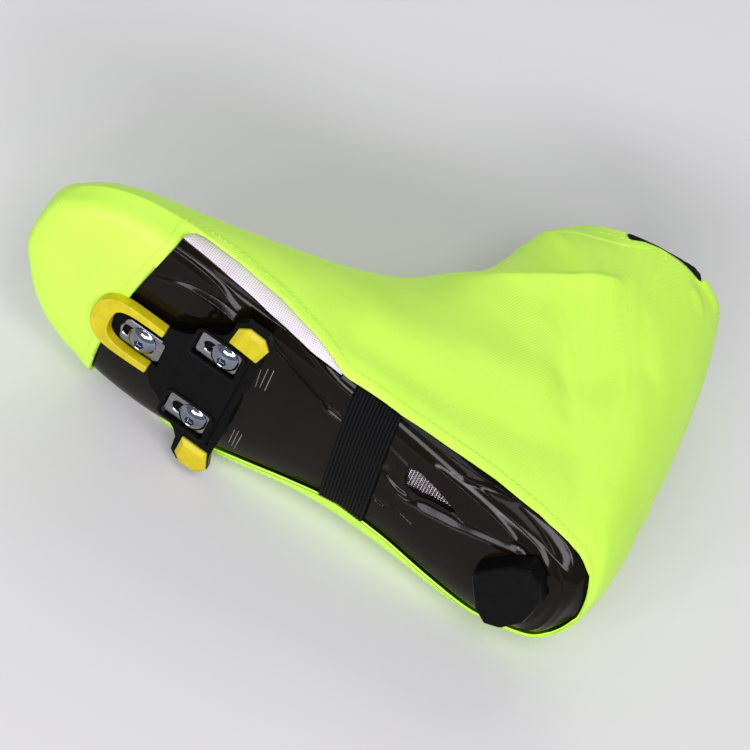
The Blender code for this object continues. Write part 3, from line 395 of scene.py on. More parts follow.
SOLE_RELIEF = (
    ("facet", 0, 1.6, ((230, 46, 18.5, 0.2), (227.2, 46.2, 17.3, 1.8), (215.6, 46.4, 16.5, 2.2),
                       (202.4, 45.1, 14.9, 2.5), (190.9, 40.9, 12.8, 2.6),
                       (178.1, 37.8, 12.3, 1.6), (174, 36.8, 12.3, 0.1))),
    ("facet", 0, 1.6, ((227, 28.5, 11.9, 0.1), (222.9, 30.4, 11.9, 0.9), (215.6, 34, 11.9, 1.4),
                       (208.9, 36, 11.9, 2.0), (198.7, 37, 11.8, 2.7), (190.9, 36.4, 11.6, 3.0),
                       (184.5, 35, 11.5, 2.8), (181.5, 34.4, 11.5, 0.1))),
    ("facet", 0, 2.6, ((96, 0.5, 11.6, 0.1), (89.5, 0.8, 11, 0.7), (84.5, 3.2, 10.4, 1.8),
                       (80.1, 4.6, 9.9, 2.9), (73.2, 7.2, 8.9, 2.8), (66.9, 9.3, 8.1, 2.4),
                       (58.8, 12.8, 7.3, 2.2), (48.8, 16.8, 6.6, 2.2), (41.8, 19.8, 6.6, 3.0),
                       (37, 19.6, 6.2, 1.8), (34.5, 19.3, 6.2, 0.1))),
    ("facet", 0, 1.8, ((77.7, 29.1, 15.2, 0.5), (71.3, 29.8, 15.2, 0.6), (63.5, 29.7, 14.4, 0.6),
                       (53.4, 28.6, 12.3, 0.7), (44.6, 28.1, 10.9, 1.0), (35.1, 26.9, 9.7, 2.0),
                       (29.4, 24.5, 8.5, 3.6), (24.5, 21.5, 7.3, 3.6), (19.5, 17.8, 6.5, 0.2))),
    ("facet", 0, 2.0, ((51, 33, 18.4, 0.2), (41, 32.4, 16.7, 2.2), (33.8, 31.3, 15.2, 4.4),
                       (25.1, 28.6, 12.8, 6.2), (19.5, 25.2, 10.3, 3.4), (16.5, 22.6, 9.3, 0.2))),
    ("facet", 0, 1.2, ((141.5, 22, 12.2, 0.1), (137, 19.4, 12.5, 1.3), (131, 18.0, 12.9, 0.8))),
    ("crest", 0.45, 2.6, ((92, 26, 14.3), (90.1, 25.9, 14.2), (83.9, 25.9, 13.7),
                          (72.9, 25.7, 12.4), (61.2, 25.2, 10.8), (51, 24.1, 9.1),
                          (43.4, 22.8, 7.7), (39, 20.6, 6.6))),
    ("crest", 0.50, 2.4, ((77.7, 29.6, 15.6), (71.4, 30.3, 15.8), (63.8, 31.8, 17.2),
                          (56.1, 32.5, 18), (50, 33, 18.6))),
    ("crest", 0.55, 2.6, ((180, 43.5, 16.6), (165, 42.1, 16.5), (155.2, 39.1, 16.1),
                          (146.5, 35.4, 15.5), (134.9, 31.8, 15.7), (126, 31, 15.8))),
    ("crest", 0.40, 2.4, ((29, 18.5, 6.3), (25.1, 15.8, 5.4), (19.9, 10.9, 4.9),
                          (16.8, 2, 4.7), (17, -11.6, 5.1))),
    ("crest", 0.50, 2.4, ((21, 19.5, 7.1), (18.2, 17.4, 6.4), (13.9, 9.7, 5.4),
                          (12.4, -1.2, 5.3), (13.6, -15.3, 6.2), (20, -24, 7.5))),
    ("groove", 0.9, 1.5, ((172.5, 36.8, 12.0), (168.4, 34.4, 12), (159.2, 30.7, 11.9),
                          (147.6, 25.6, 12), (139.6, 22.2, 12.3), (130, 20.6, 12.9))),
    ("groove", 0.8, 1.2, ((109, 21.2, 13.8), (102.3, 19.6, 13.2), (96, 18.4, 12.6))),
    ("groove", 0.7, 1.2, ((73, 14, 9.4), (68.2, 12.9, 8.5), (64, 12.4, 7.9))),
    ("groove", 1.5, 3.4, ((106, 9.8, 12.4), (96.5, 5.2, 11.7), (91, 4.6, 11.2),
                          (86.5, 4.9, 10.7))),
    ("groove", 1.0, 1.9, ((101, -10.8, 12.1), (93, -10.2, 11.4))),
    ("groove", 0.5, 0.9, ((88.9, -7.9, 10.9), (80.1, -8.8, 9.9))),
)

# The window in the sole, and the printed lines that the cleat is set by, in millimetres
WINDOW = ((97.0, 17.2), (91.5, 19.0), (82.5, 17.6), (72.5, 15.2), (70.0, 13.4), (81.5, 10.2),
          (86.5, 7.6), (93.0, 6.8))
SCALE_MARKS = (
    ((168.6, 20.0), (166.2, 9.1)), ((166.3, 22.4), (164.6, 10.2)), ((164.0, 23.2), (162.2, 10.1)),
    ((162.3, -22.0), (161.0, -33.0)), ((160.7, -21.1), (159.2, -34.0)),
    ((158.7, -22.2), (157.6, -35.5)),
)


# ---------------------------------------------------------------- the covered shoe's form

def table(rows, columns):
    """The table as one array for each named column."""
    values = np.array(rows, float)
    return {name: values[:, i] for i, name in enumerate(columns)}


def through(values, stations):
    """A smooth curve through the values, read at fractional positions."""
    last = len(values) - 1
    i = np.clip(np.floor(stations).astype(int), 0, last - 1)
    f = stations - i
    a = values[np.clip(i - 1, 0, last)]
    b = values[i]
    c = values[i + 1]
    d = values[np.clip(i + 2, 0, last)]
    return 0.5 * (2 * b + (c - a) * f + (2 * a - 5 * b + 4 * c - d) * f**2
                  + (3 * b - a - 3 * c + d) * f**3)


def unit(vectors):
    """The same directions, each of length 1."""
    return vectors / np.maximum(np.linalg.norm(vectors, axis=-1, keepdims=True), 1e-12)


def on_form(stations, angles):
    """Points of the covered shoe, at section numbers and angles that pair up."""
    form = {name: through(values, stations)
            for name, values in table(FORM, FORM_COLUMNS).items()}
    low_x = form["low_x"] * LENGTH
    low_z = form["lift"] * SOLE_LIFT + form["rise"] * COLLAR_BACK_HEIGHT
    top_x = form["top_x"] * LENGTH
    top_z = (form["instep"] * INSTEP_HEIGHT
             + form["shaft"] * (COLLAR_FRONT_HEIGHT - INSTEP_HEIGHT))
    up = -np.cos(angles)
    side = np.sin(angles)
    power = 2 / np.where(up > 0, form["crown"], form["keel"])
    climb = np.abs(up) ** power
    widest = form["widest"]
    share = np.where(up > 0, widest + (1 - widest) * climb, widest - widest * climb)
    half = np.where(side >= 0, form["inner"], -form["outer"]) * BALL_WIDTH
    y = half * np.abs(side) ** power + form["swing"] * BALL_WIDTH
    x = low_x + (top_x - low_x) * share
    z = low_z + (top_z - low_z) * share
    return np.stack(np.broadcast_arrays(x, y, z), -1)


def out_of_form(stations, angles):
    """A unit vector out of the form there."""
    step = 0.004
    ahead = np.minimum(stations + step, len(FORM) - 1)
    along = on_form(ahead, angles) - on_form(np.maximum(stations - step, 0), angles)
    around = on_form(stations, angles + step) - on_form(stations, angles - step)
    return unit(np.cross(along, around))


def smooth_max(a, b, blend):
    """The larger of two fields, with the corner between them rounded."""
    near = np.maximum(blend - np.abs(a - b), 0) / blend
    return np.maximum(a, b) + near * near * blend / 4


def ease(share):
    """From 0 to 1 without a corner."""
    share = np.clip(share, 0, 1)
    return share * share * (3 - 2 * share)


def edge_at(name, stations):
    """One of the edges' columns, read between the sections."""
    edges = table(EDGES, EDGE_COLUMNS)
    return np.interp(stations, edges["section"], edges[name])


class Form:
    """The covered shoe as a grid, with the fields that its pieces are cut by.

    The angles run from -180 to 180 degrees, with 0 under the sole.
    """

    def __init__(self, stations, angles):
        self.section, self.angle = np.meshgrid(stations, angles, indexing="ij")
        self.grid = on_form(self.section, self.angle)
        self.normal = out_of_form(self.section, self.angle)
        self.x, self.y, self.z = (self.grid[..., i] for i in range(3))
        under = int(np.argmin(np.abs(angles)))
        step = np.linalg.norm(np.roll(self.grid, -1, 1) - self.grid, axis=2)
        step = np.roll(step, -under, 1)
        reached = np.cumsum(step, axis=1) - step
        whole = step.sum(1, keepdims=True)
        inner = np.roll(angles, -under)[None, :] >= 0
        self.around = np.roll(np.where(inner, reached, reached - whole), under, 1)
        self.girth = np.abs(self.around)
        run = np.linalg.norm(np.diff(self.grid, axis=0), axis=2)
        self.along = np.vstack([np.zeros((1, len(angles))), np.cumsum(run, axis=0)])
        self.drop = self.along[-1:] - self.along
        middle = self.y[:, under:under + 1]
        self.low = self.z[:, under:under + 1]
        hem = np.where(self.y >= middle, edge_at("hem_in", self.section),
                       edge_at("hem_out", self.section)) * BALL_WIDTH
        bow = TOE_COVER_BOW * (self.y / (BALL_WIDTH / 2)) ** 2
        toe = self.x - (TOE_COVER_EDGE - bow)
        self.side_hem = self.girth - hem
        self.hem = smooth_max(self.side_hem, toe, CORNER_BLEND)
        self.rim = edge_at("rim", self.section) * COLLAR_BACK_HEIGHT
        self.topline = edge_at("topline", self.section) * COLLAR_BACK_HEIGHT
        self.lay = np.stack([self.along, self.around, self.hem], 2)


def stations_between(*legs):
    """Section numbers from leg to leg, each with the step that leads to its end."""
    stations = [np.array([float(legs[0])])]
    for step, end in zip(legs[1::2], legs[2::2]):
        start = stations[-1][-1]
        stations.append(np.linspace(start, end, int(round((end - start) / step)) + 1)[1:])
    return np.concatenate(stations)


def turned(yaw, pitch):
    """The turn that lays the shoe down, from the way its outer side faces."""
    up = Vector((math.sin(yaw) * math.cos(pitch), math.cos(yaw) * math.cos(pitch),
                 math.sin(pitch)))
    toe = Vector((1, 0, 0))
    toe = (toe - up * toe.dot(up)).normalized()
    return Matrix((-toe, toe.cross(up), up))


TURN = turned(LYING_YAW, LYING_PITCH)
PAD_MOUNT = next(m for m in frame["record"]["mounts"] if m["name"] == "heel_pad_face")
SHIFT = Vector(PAD_MOUNT["pos_m"]) - TURN @ Vector((PAD_FROM_HEEL, 0, 0))
TO_WORLD = Matrix.Translation(SHIFT) @ TURN.to_4x4()


def in_world(points):
    """From the shoe's own frame to where it lies."""
    return np.asarray(points) @ np.array(TURN).T + np.array(SHIFT)


# ---------------------------------------------------------------- meshes

# A cut leaves at least this share of an edge on both of its sides, so no sliver stays.
LEAST_CUT = 0.04


def placed(name, data):
    """A new object of these data in the scene."""
    obj = bpy.data.objects.new(name, data)
    bpy.context.collection.objects.link(obj)
    return obj


def add_piece(name, verts, faces, material, marks=None):
    """A mesh in the shoe's frame, laid in the world, with named values at its points."""
    mesh = bpy.data.meshes.new(name)
    mesh.from_pydata([tuple(v) for v in in_world(verts)], [], [tuple(f) for f in faces])
    mesh.materials.append(material)
    for mark, values in (marks or {}).items():
        layer = mesh.attributes.new(mark, "FLOAT_VECTOR", "POINT")
        layer.data.foreach_set("vector", np.asarray(values, np.float32).ravel())
    work = bmesh.new()
    work.from_mesh(mesh)
    bmesh.ops.recalc_face_normals(work, faces=work.faces)
    if work.calc_volume(signed=True) < 0:
        bmesh.ops.reverse_faces(work, faces=work.faces)
    work.to_mesh(mesh)
    work.free()
    mesh.shade_smooth()
    return placed(name, mesh)


def hand_over(obj, slot, *nodes):
    """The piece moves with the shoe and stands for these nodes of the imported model."""
    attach(obj, "root")
    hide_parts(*nodes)


def grid_faces(rows, columns):
    """Faces of a grid that runs round the shoe from the toe to the collar."""
    faces = []
    for i in range(rows - 1):
        for j in range(columns):
            a, b = i * columns + j, i * columns + (j + 1) % columns
            faces.append([a, b, b + columns, a + columns])
    # The first section closes the toe, in strips between points at the same height.
    for j in range(columns // 2):
        a, b = j, j + 1
        strip = [a, (columns - a) % columns, columns - b, b]
        faces.append([v for i, v in enumerate(strip) if v not in strip[:i]])
    return faces


def cut_faces(faces, keep):
    """Clips each face to where the field is positive, with corners as shares of edges."""
    kept = []
    for face in faces:
        inside = [keep[v] > 0 for v in face]
        if all(inside):
            kept.append([(v, v, 0.0) for v in face])
            continue
        if not any(inside):
            continue
        out = []
        for a, b in zip(face, face[1:] + face[:1]):
            if keep[a] > 0:
                out.append((a, a, 0.0))
            if (keep[a] > 0) != (keep[b] > 0):
                low, high = min(a, b), max(a, b)
                share = keep[low] / (keep[low] - keep[high])
                out.append((low, high, min(max(share, LEAST_CUT), 1 - LEAST_CUT)))
        if len(out) > 2:
            kept.append(out)
    return kept


class Trim:
    """The part of a form's grid where a field is positive."""

    def __init__(self, keep):
        cut = cut_faces(grid_faces(*keep.shape), keep.ravel())
        corners = sorted({corner for face in cut for corner in face})
        number = {corner: i for i, corner in enumerate(corners)}
        self.size = keep.size
        self.low = np.array([c[0] for c in corners])
        self.high = np.array([c[1] for c in corners])
        self.share = np.array([c[2] for c in corners])[:, None]
        self.faces = [[number[c] for c in face] for face in cut]
        used = {(a, b) for face in self.faces for a, b in zip(face, face[1:] + face[:1])}
        self.walls = sorted((a, b) for a, b in used if (b, a) not in used)

    def read(self, values):
        """A field of vectors at the trimmed grid's corners."""
        flat = np.asarray(values).reshape(self.size, -1)
        return flat[self.low] * (1 - self.share) + flat[self.high] * self.share

    def loops(self):
        """Its edges as runs of corners, joined end to end."""
        after = dict(self.walls)
        loops = []
        while after:
            loop = [next(iter(after))]
            while loop[-1] in after:
                loop.append(after.pop(loop[-1]))
            loops.append(loop)
        return loops


def shell(name, form, depth, wall, keep, material, turns=4):
    """A wall that starts at a depth below the form, with rounded edges, where keep is positive."""
    trim = Trim(keep)
    normal = unit(trim.read(form.normal))
    outside = trim.read(form.grid) - normal * depth
    inside = outside - normal * wall
    count = len(outside)
    faces = trim.faces + [[count + v for v in reversed(face)] for face in trim.faces]
    rim = sorted({v for edge in trim.walls for v in edge})
    place = {v: i for i, v in enumerate(rim)}
    run = np.zeros((len(rim), 3))
    for a, b in trim.walls:
        step = unit(outside[b] - outside[a])
        run[place[a]] += step
        run[place[b]] += step
    away = unit(np.cross(run, normal[rim]))
    middle = (outside[rim] + inside[rim]) / 2
    half = (outside[rim] - inside[rim]) / 2
    verts = [outside, inside]
    for k in range(1, turns):
        turn = math.pi * k / turns
        verts.append(middle + half * math.cos(turn) + away * wall / 2 * math.sin(turn))
    ring = [np.array(rim)] + [2 * count + (k - 1) * len(rim) + np.arange(len(rim))
                              for k in range(1, turns)] + [count + np.array(rim)]
    for a, b in trim.walls:
        i, j = place[a], place[b]
        for k in range(turns):
            faces.append([ring[k][j], ring[k][i], ring[k + 1][i], ring[k + 1][j]])
    lay = trim.read(form.lay)
    at = trim.read(np.stack([form.section, form.angle, np.ones(form.x.shape)], 2))
    under = at * (1, 1, 0)
    marks = {"lay": np.concatenate([lay, lay] + [lay[rim]] * (turns - 1)),
             "at": np.concatenate([at, under] + [under[rim]] * (turns - 1))}
    return add_piece(name, np.vstack(verts), faces, material, marks)


# ---------------------------------------------------------------- relief

def smooth_line(points, steps=5):
    """The line with so many steps between its points, on a smooth curve through them."""
    points = np.array(points, float)
    at = np.linspace(0, len(points) - 1, steps * (len(points) - 1) + 1)
    return np.stack([through(column, at) for column in points.T], 1)


def from_line(points, normals, line):
    """Each point's distance from a line, the part of it that lies across the line on the
    surface, the share of the way along, and the direction across."""
    lengths = np.linalg.norm(np.diff(line, axis=0), axis=1)
    reached = np.concatenate([[0], np.cumsum(lengths)])
    nearest = np.full(len(points), 1e9)
    share = np.zeros(len(points))
    off = np.zeros((len(points), 3))
    heading = np.zeros((len(points), 3))
    for a, b, start, length in zip(line, line[1:], reached, lengths):
        way = (b - a) / length
        t = np.clip((points - a) @ way, 0, length)
        gap = points - (a + t[:, None] * way)
        distance = np.linalg.norm(gap, axis=1)
        nearer = distance < nearest
        nearest[nearer] = distance[nearer]
        share[nearer] = (start + t[nearer]) / reached[-1]
        off[nearer] = gap[nearer]
        heading[nearer] = way
    across = unit(np.cross(normals, heading))
    return nearest, np.sum(off * across, 1), share, across


def facet_rise(side, width, blend, normals, across):
    """Turns a band of the surface towards the softbox, and blends it in on both sides."""
    turn = np.arctan2(across @ np.array(SHINE), normals @ np.array(SHINE))
    slope = np.tan(np.clip(turn, -FACET_STEEPEST, FACET_STEEPEST))
    half = width / 2
    beyond = 1 - ease((np.abs(side) - half) / np.maximum(blend, width * FACET_BLEND))
    return -slope * np.where(np.abs(side) <= half, side, np.sign(side) * half * beyond)


def relief(points, normals, lines):
    """How far the surface stands out of the form there, all in millimetres."""
    rise = np.zeros(len(points))
    for kind, height, width, places in lines:
        line = smooth_line(places)
        path = line[:, :3]
        reach = width * FELT_WIDTHS + FELT_MORE
        close = np.all((points > path.min(0) - reach) & (points < path.max(0) + reach), axis=1)
        if not close.any():
            continue
        gap, side, share, across = from_line(points[close], normals[close], path)
        lengths = np.linalg.norm(np.diff(path, axis=0), axis=1)
        total = lengths.sum()
        to_end = np.minimum(share, 1 - share) * total
        fade = ease(to_end / max(width, total * END_FADE))
        if kind == "facet":
            reached = np.concatenate([[0], np.cumsum(lengths)]) / total
            band = np.interp(share, reached, line[:, 3])
            beside = ease((width * FACET_REACH + band - gap) / width)
            rise[close] += facet_rise(side, band, width, normals[close], across) * beside
        elif kind == "crest":
            rise[close] += height * fade * np.clip(1 - gap / width, 0, 1) ** 2
        elif kind == "step":
            lifted = ease(side / (width * FOLD_CLIMB) + 0.5)
            rise[close] += height * fade * lifted * np.exp(-(gap / width) ** 2)
        elif kind == "groove":
            wall = ease((gap / width - GROOVE_FLOOR) / (1 - GROOVE_FLOOR))
            rise[close] -= height * ease(to_end / (width * GROOVE_END)) * (1 - wall)
        else:
            rise[close] += height * fade * np.exp(-(gap / width) ** 2)
    return rise


def mould(obj, depth, lines, fine_lines, passes, band=0.0):
    """Splits a shell's outer faces near the fine lines, and moves its points by the relief."""
    drawn = [smooth_line(places)[:, :3] for _, _, _, places in fine_lines]
    spans = [max(width, LEAST_BAND) for _, _, width, _ in fine_lines]
    work = bmesh.new()
    work.from_mesh(obj.data)
    at = work.verts.layers.float_vector["at"]
    lay = work.verts.layers.float_vector["lay"]
    for spread in passes:
        work.verts.index_update()
        place = np.array([v[at] for v in work.verts])
        points = on_form(place[:, 0], place[:, 1]) / MM
        near = np.zeros(len(points), bool)
        for line, span in zip(drawn, spans):
            reach = span * spread
            close = np.all((points > line.min(0) - reach) & (points < line.max(0) + reach), 1)
            if close.any():
                gap = from_line(points[close], points[close], line)[0]
                near[np.flatnonzero(close)[gap < reach]] = True
        near &= place[:, 2] > 0.5
        edges = [e for e in work.edges if near[e.verts[0].index] and near[e.verts[1].index]]
        bmesh.ops.subdivide_edges(work, edges=edges, cuts=1, use_grid_fill=True)
    place = np.array([v[at] for v in work.verts])
    hem = np.array([v[lay][2] for v in work.verts])
    form = on_form(place[:, 0], place[:, 1])
    normal = out_of_form(place[:, 0], place[:, 1])
    rise = relief(form / MM, normal, lines) * MM
    if band:
        rise += band * ease((HEM_BAND - hem) / HEM_EASE)
    outer = place[:, 2] > 0.5
    old = np.array([v.co for v in work.verts])
    turn = np.array(TURN).T
    new = np.where(outer[:, None], in_world(form - normal * depth), old) + (
        normal * rise[:, None]) @ turn
    for vert, point in zip(work.verts, new):
        vert.co = point
    work.to_mesh(obj.data)
    work.free()


# ---------------------------------------------------------------- nodes

def linear(code):
    """A linear colour from sRGB hex."""
    channels = [int(code[i:i + 2], 16) / 255 for i in (1, 3, 5)]
    return tuple(c / 12.92 if c <= 0.04045 else ((c + 0.055) / 1.055) ** 2.4
                 for c in channels) + (1.0,)


def add(nodes, kind, inputs=None, stops=(), **settings):
    """Adds a node with its settings, its inputs, which are values or sockets to link, and
    the two stops of a colour ramp, as positions and hex colours."""
    node = nodes.new(kind)
    for name, value in settings.items():
        setattr(node, name, value)
    for place, (position, code) in enumerate(stops):
        node.color_ramp.elements[place].position = position
        node.color_ramp.elements[place].color = linear(code)
    for key, value in (inputs or {}).items():
        if isinstance(value, bpy.types.NodeSocket):
            nodes.id_data.links.new(value, node.inputs[key])
        else:
            node.inputs[key].default_value = value
    return node


def new_material(name, shader_inputs):
    """A material with its shader's own values set."""
    material = bpy.data.materials.new(name)
    material.use_nodes = True
    nodes = material.node_tree.nodes
    shader = nodes["Principled BSDF"]
    for key, value in shader_inputs.items():
        shader.inputs[key].default_value = value
    return material, nodes, shader


def finish_shader(nodes, shader, colour, height, strength, depth, rough=None):
    """Links the shader's colour, its fine relief and, where it varies, its roughness."""
    relieved = add(nodes, "ShaderNodeBump", {
        "Height": height, "Strength": strength, "Distance": depth})
    links = {"Base Color": colour, "Normal": relieved.outputs["Normal"]}
    if rough:
        links["Roughness"] = rough
    for key, socket in links.items():
        nodes.id_data.links.new(socket, shader.inputs[key])


# A wave texture of scale 1 repeats every pi / 10.
WAVE = math.pi / 10


# ---------------------------------------------------------------- fabrics

def knitted_polyester_elastane():
    """Fluorescent warp knit: bright, matt, with fine slanting ribs, a little fuzz and a faint
    painted glow.
    """
    # The emission is a painted glow: the dye's fluorescence drawn as light of its own, which lifts
    # the fabric's shaded parts.
    material, nodes, shader = new_material("knitted_polyester_elastane", {
        "Roughness": 0.52, "Specular IOR Level": 0.42, "Sheen Weight": 0.06,
        "Sheen Roughness": 0.38, "Sheen Tint": linear("#f4ffdc"),
        "Emission Color": linear("#7dff00"), "Emission Strength": 0.03})
    lay = add(nodes, "ShaderNodeAttribute", attribute_name="lay").outputs["Vector"]
    slanted = add(nodes, "ShaderNodeMapping", {
        "Vector": lay, "Rotation": (0, 0, math.radians(27))}).outputs["Vector"]
    # The real ribs are about 0.4 mm apart; twice that is the finest that shows.
    ribs = add(nodes, "ShaderNodeTexWave", {
        "Vector": slanted, "Scale": WAVE / 0.00092, "Distortion": 0.5, "Detail": 1.0,
        "Detail Scale": 0.12}, wave_type="BANDS", bands_direction="X").outputs["Fac"]
    loops = add(nodes, "ShaderNodeTexWave", {
        "Vector": slanted, "Scale": WAVE / 0.00074, "Distortion": 0.8, "Detail": 1.0,
        "Detail Scale": 0.3}, wave_type="BANDS", bands_direction="Y").outputs["Fac"]
    knit = add(nodes, "ShaderNodeMix", {"Factor": 0.3, "A": ribs, "B": loops})
    slack = add(nodes, "ShaderNodeTexNoise", {
        "Vector": lay, "Scale": 38.0, "Detail": 3.0, "Roughness": 0.55}).outputs["Fac"]
    patchy = add(nodes, "ShaderNodeValToRGB", {"Fac": slack},
                 ((0.35, "#bcee46"), (0.65, "#c8f454"))).outputs["Color"]
    bright = add(nodes, "ShaderNodeValToRGB", {"Fac": knit.outputs["Result"]},
                 ((0.2, "#b4e73a"), (0.8, "#d1fb5e"))).outputs["Color"]
    dyed = add(nodes, "ShaderNodeMix", {"Factor": 0.5, "A": patchy, "B": bright},
               data_type="RGBA")
    fuzz = add(nodes, "ShaderNodeTexNoise", {"Vector": lay, "Scale": 2400.0}).outputs["Fac"]
    height = add(nodes, "ShaderNodeMath", {0: knit.outputs["Result"], 1: fuzz},
                 operation="ADD")
    finish_shader(nodes, shader, dyed.outputs[2], height.outputs[0], 0.28, 0.00016)
    return material


def sewing_thread():
    """Spun polyester thread in the fabric's own colour, a little shinier and deeper."""
    material, nodes, shader = new_material("spun_polyester_thread", {
        "Roughness": 0.45, "Sheen Weight": 0.15})
    place = add(nodes, "ShaderNodeTexCoord").outputs["Object"]
    plies = add(nodes, "ShaderNodeTexNoise", {"Vector": place, "Scale": 1800.0}).outputs["Fac"]
    colour = add(nodes, "ShaderNodeValToRGB", {"Fac": plies},
                 ((0.3, "#a9df33"), (0.7, "#c9f75e"))).outputs["Color"]
    finish_shader(nodes, shader, colour, plies, 0.4, 0.0001)
    return material


def perforated_microfibre():
    """White synthetic leather with fine punched dots: satin, faintly pink-grey."""
    material, nodes, shader = new_material("perforated_microfibre", {
        "Specular IOR Level": 0.35})
    lay = add(nodes, "ShaderNodeAttribute", attribute_name="lay").outputs["Vector"]
    # The real holes are 0.3 mm wide and 0.8 mm apart; 1.05 mm apart is what shows.
    dots = add(nodes, "ShaderNodeTexVoronoi", {
        "Vector": lay, "Scale": 1 / 0.00105, "Randomness": 0.0},
        voronoi_dimensions="2D").outputs["Distance"]
    grain = add(nodes, "ShaderNodeTexNoise", {
        "Vector": lay, "Scale": 900.0, "Detail": 3.0}).outputs["Fac"]
    broad = add(nodes, "ShaderNodeTexNoise", {"Vector": lay, "Scale": 45.0}).outputs["Fac"]
    skin = add(nodes, "ShaderNodeValToRGB", {"Fac": broad},
               ((0.3, "#dcd2da"), (0.7, "#e9e2e7"))).outputs["Color"]
    holes = add(nodes, "ShaderNodeValToRGB", {"Fac": dots},
                ((0.12, "#9a929a"), (0.34, "#ffffff"))).outputs["Color"]
    colour = add(nodes, "ShaderNodeMix", {"Factor": 0.75, "A": skin, "B": holes},
                 data_type="RGBA", blend_type="MULTIPLY")
    height = add(nodes, "ShaderNodeMath", {0: dots, 1: grain}, operation="ADD")
    rough = add(nodes, "ShaderNodeMapRange", {
        "Value": grain, "To Min": 0.45, "To Max": 0.62}).outputs["Result"]
    finish_shader(nodes, shader, colour.outputs[2], height.outputs[0], 0.35, 0.0002, rough)
    return material


def woven_elastic(rib):
    """Woven elastic of dull black polyester; its ribs are rope-like covered rubber threads."""
    name = "covered_rubber_thread" if rib else "woven_elastic_ground"
    material, nodes, shader = new_material(name, {
        "Roughness": 0.55, "Specular IOR Level": 0.12 if rib else 0.03, "Sheen Weight": 0.01,
        "Sheen Roughness": 0.4})
    lay = add(nodes, "ShaderNodeAttribute", attribute_name="lay").outputs["Vector"]
    # The yarn crosses a rib every 0.35 mm; 0.7 mm is the finest that shows.
    yarn = add(nodes, "ShaderNodeTexWave", {
        "Vector": lay, "Scale": WAVE / 0.0007, "Distortion": 0.6, "Detail": 1.0,
        "Detail Scale": 0.3}, wave_type="BANDS",
        bands_direction="DIAGONAL" if rib else "Y").outputs["Fac"]
    fluff = add(nodes, "ShaderNodeTexNoise", {"Vector": lay, "Scale": 1500.0}).outputs["Fac"]
    colour = add(nodes, "ShaderNodeValToRGB", {"Fac": yarn},
                 ((0.15, "#030303"), (0.85, "#0e0e0f"))).outputs["Color"]
    height = add(nodes, "ShaderNodeMath", {0: yarn, 1: fluff}, operation="ADD")
    finish_shader(nodes, shader, colour, height.outputs[0], 0.6, 0.0002)
    return material


def brushed_polyester():
    """The footbed's cover: dark grey brushed polyester, soft and without gloss."""
    material, nodes, shader = new_material("brushed_polyester", {
        "Roughness": 0.92, "Specular IOR Level": 0.15, "Sheen Weight": 0.3})
    lay = add(nodes, "ShaderNodeAttribute", attribute_name="lay").outputs["Vector"]
    nap = add(nodes, "ShaderNodeTexNoise", {
        "Vector": lay, "Scale": 700.0, "Detail": 4.0}).outputs["Fac"]
    weave = add(nodes, "ShaderNodeTexWave", {
        "Vector": lay, "Scale": WAVE / 0.0012, "Distortion": 1.5}).outputs["Fac"]
    colour = add(nodes, "ShaderNodeValToRGB", {"Fac": nap},
                 ((0.3, "#1c1c20"), (0.7, "#34343a"))).outputs["Color"]
    height = add(nodes, "ShaderNodeMath", {0: nap, 1: weave}, operation="ADD")
    finish_shader(nodes, shader, colour, height.outputs[0], 0.4, 0.0003)
    return material


# ---------------------------------------------------------------- plastics, rubber and metal

def lacquered_nylon(name, dark, light, level):
    """Glass-filled nylon under clear lacquer: nearly black, brownish, mirror-smooth."""
    material, nodes, shader = new_material(name, {"Specular IOR Level": level})
    place = add(nodes, "ShaderNodeTexCoord").outputs["Object"]
    clouds = add(nodes, "ShaderNodeTexNoise", {
        "Vector": place, "Scale": 30.0, "Detail": 4.0, "Roughness": 0.6}).outputs["Fac"]
    colour = add(nodes, "ShaderNodeValToRGB", {"Fac": clouds},
                 ((0.3, dark), (0.7, light))).outputs["Color"]
    handled = add(nodes, "ShaderNodeTexNoise", {
        "Vector": place, "Scale": 90.0, "Detail": 5.0}).outputs["Fac"]
    rough = add(nodes, "ShaderNodeMapRange", {
        "Value": handled, "From Min": 0.3, "From Max": 0.75, "To Min": 0.07,
        "To Max": 0.15}).outputs["Result"]
    peel = add(nodes, "ShaderNodeTexNoise", {"Vector": place, "Scale": 420.0}).outputs["Fac"]
    finish_shader(nodes, shader, colour, peel, 0.05, 0.0002, rough)
    return material


def moulded(name, dark, light, smooth, rough, grain_mm, depth, level=0.5):
    """Moulded plastic or rubber: an even colour, fine spark-eroded grain, handled patches."""
    material, nodes, shader = new_material(name, {"Specular IOR Level": level})
    place = add(nodes, "ShaderNodeTexCoord").outputs["Object"]
    grain = add(nodes, "ShaderNodeTexNoise", {
        "Vector": place, "Scale": 1 / (grain_mm * MM), "Detail": 3.0}).outputs["Fac"]
    wear = add(nodes, "ShaderNodeTexNoise", {
        "Vector": place, "Scale": 160.0, "Detail": 5.0, "Roughness": 0.65}).outputs["Fac"]
    colour = add(nodes, "ShaderNodeValToRGB", {"Fac": wear},
                 ((0.35, dark), (0.65, light))).outputs["Color"]
    gloss = add(nodes, "ShaderNodeMapRange", {
        "Value": wear, "From Min": 0.3, "From Max": 0.7, "To Min": smooth,
        "To Max": rough}).outputs["Result"]
    finish_shader(nodes, shader, colour, grain, 0.5, depth * MM, gloss)
    return material


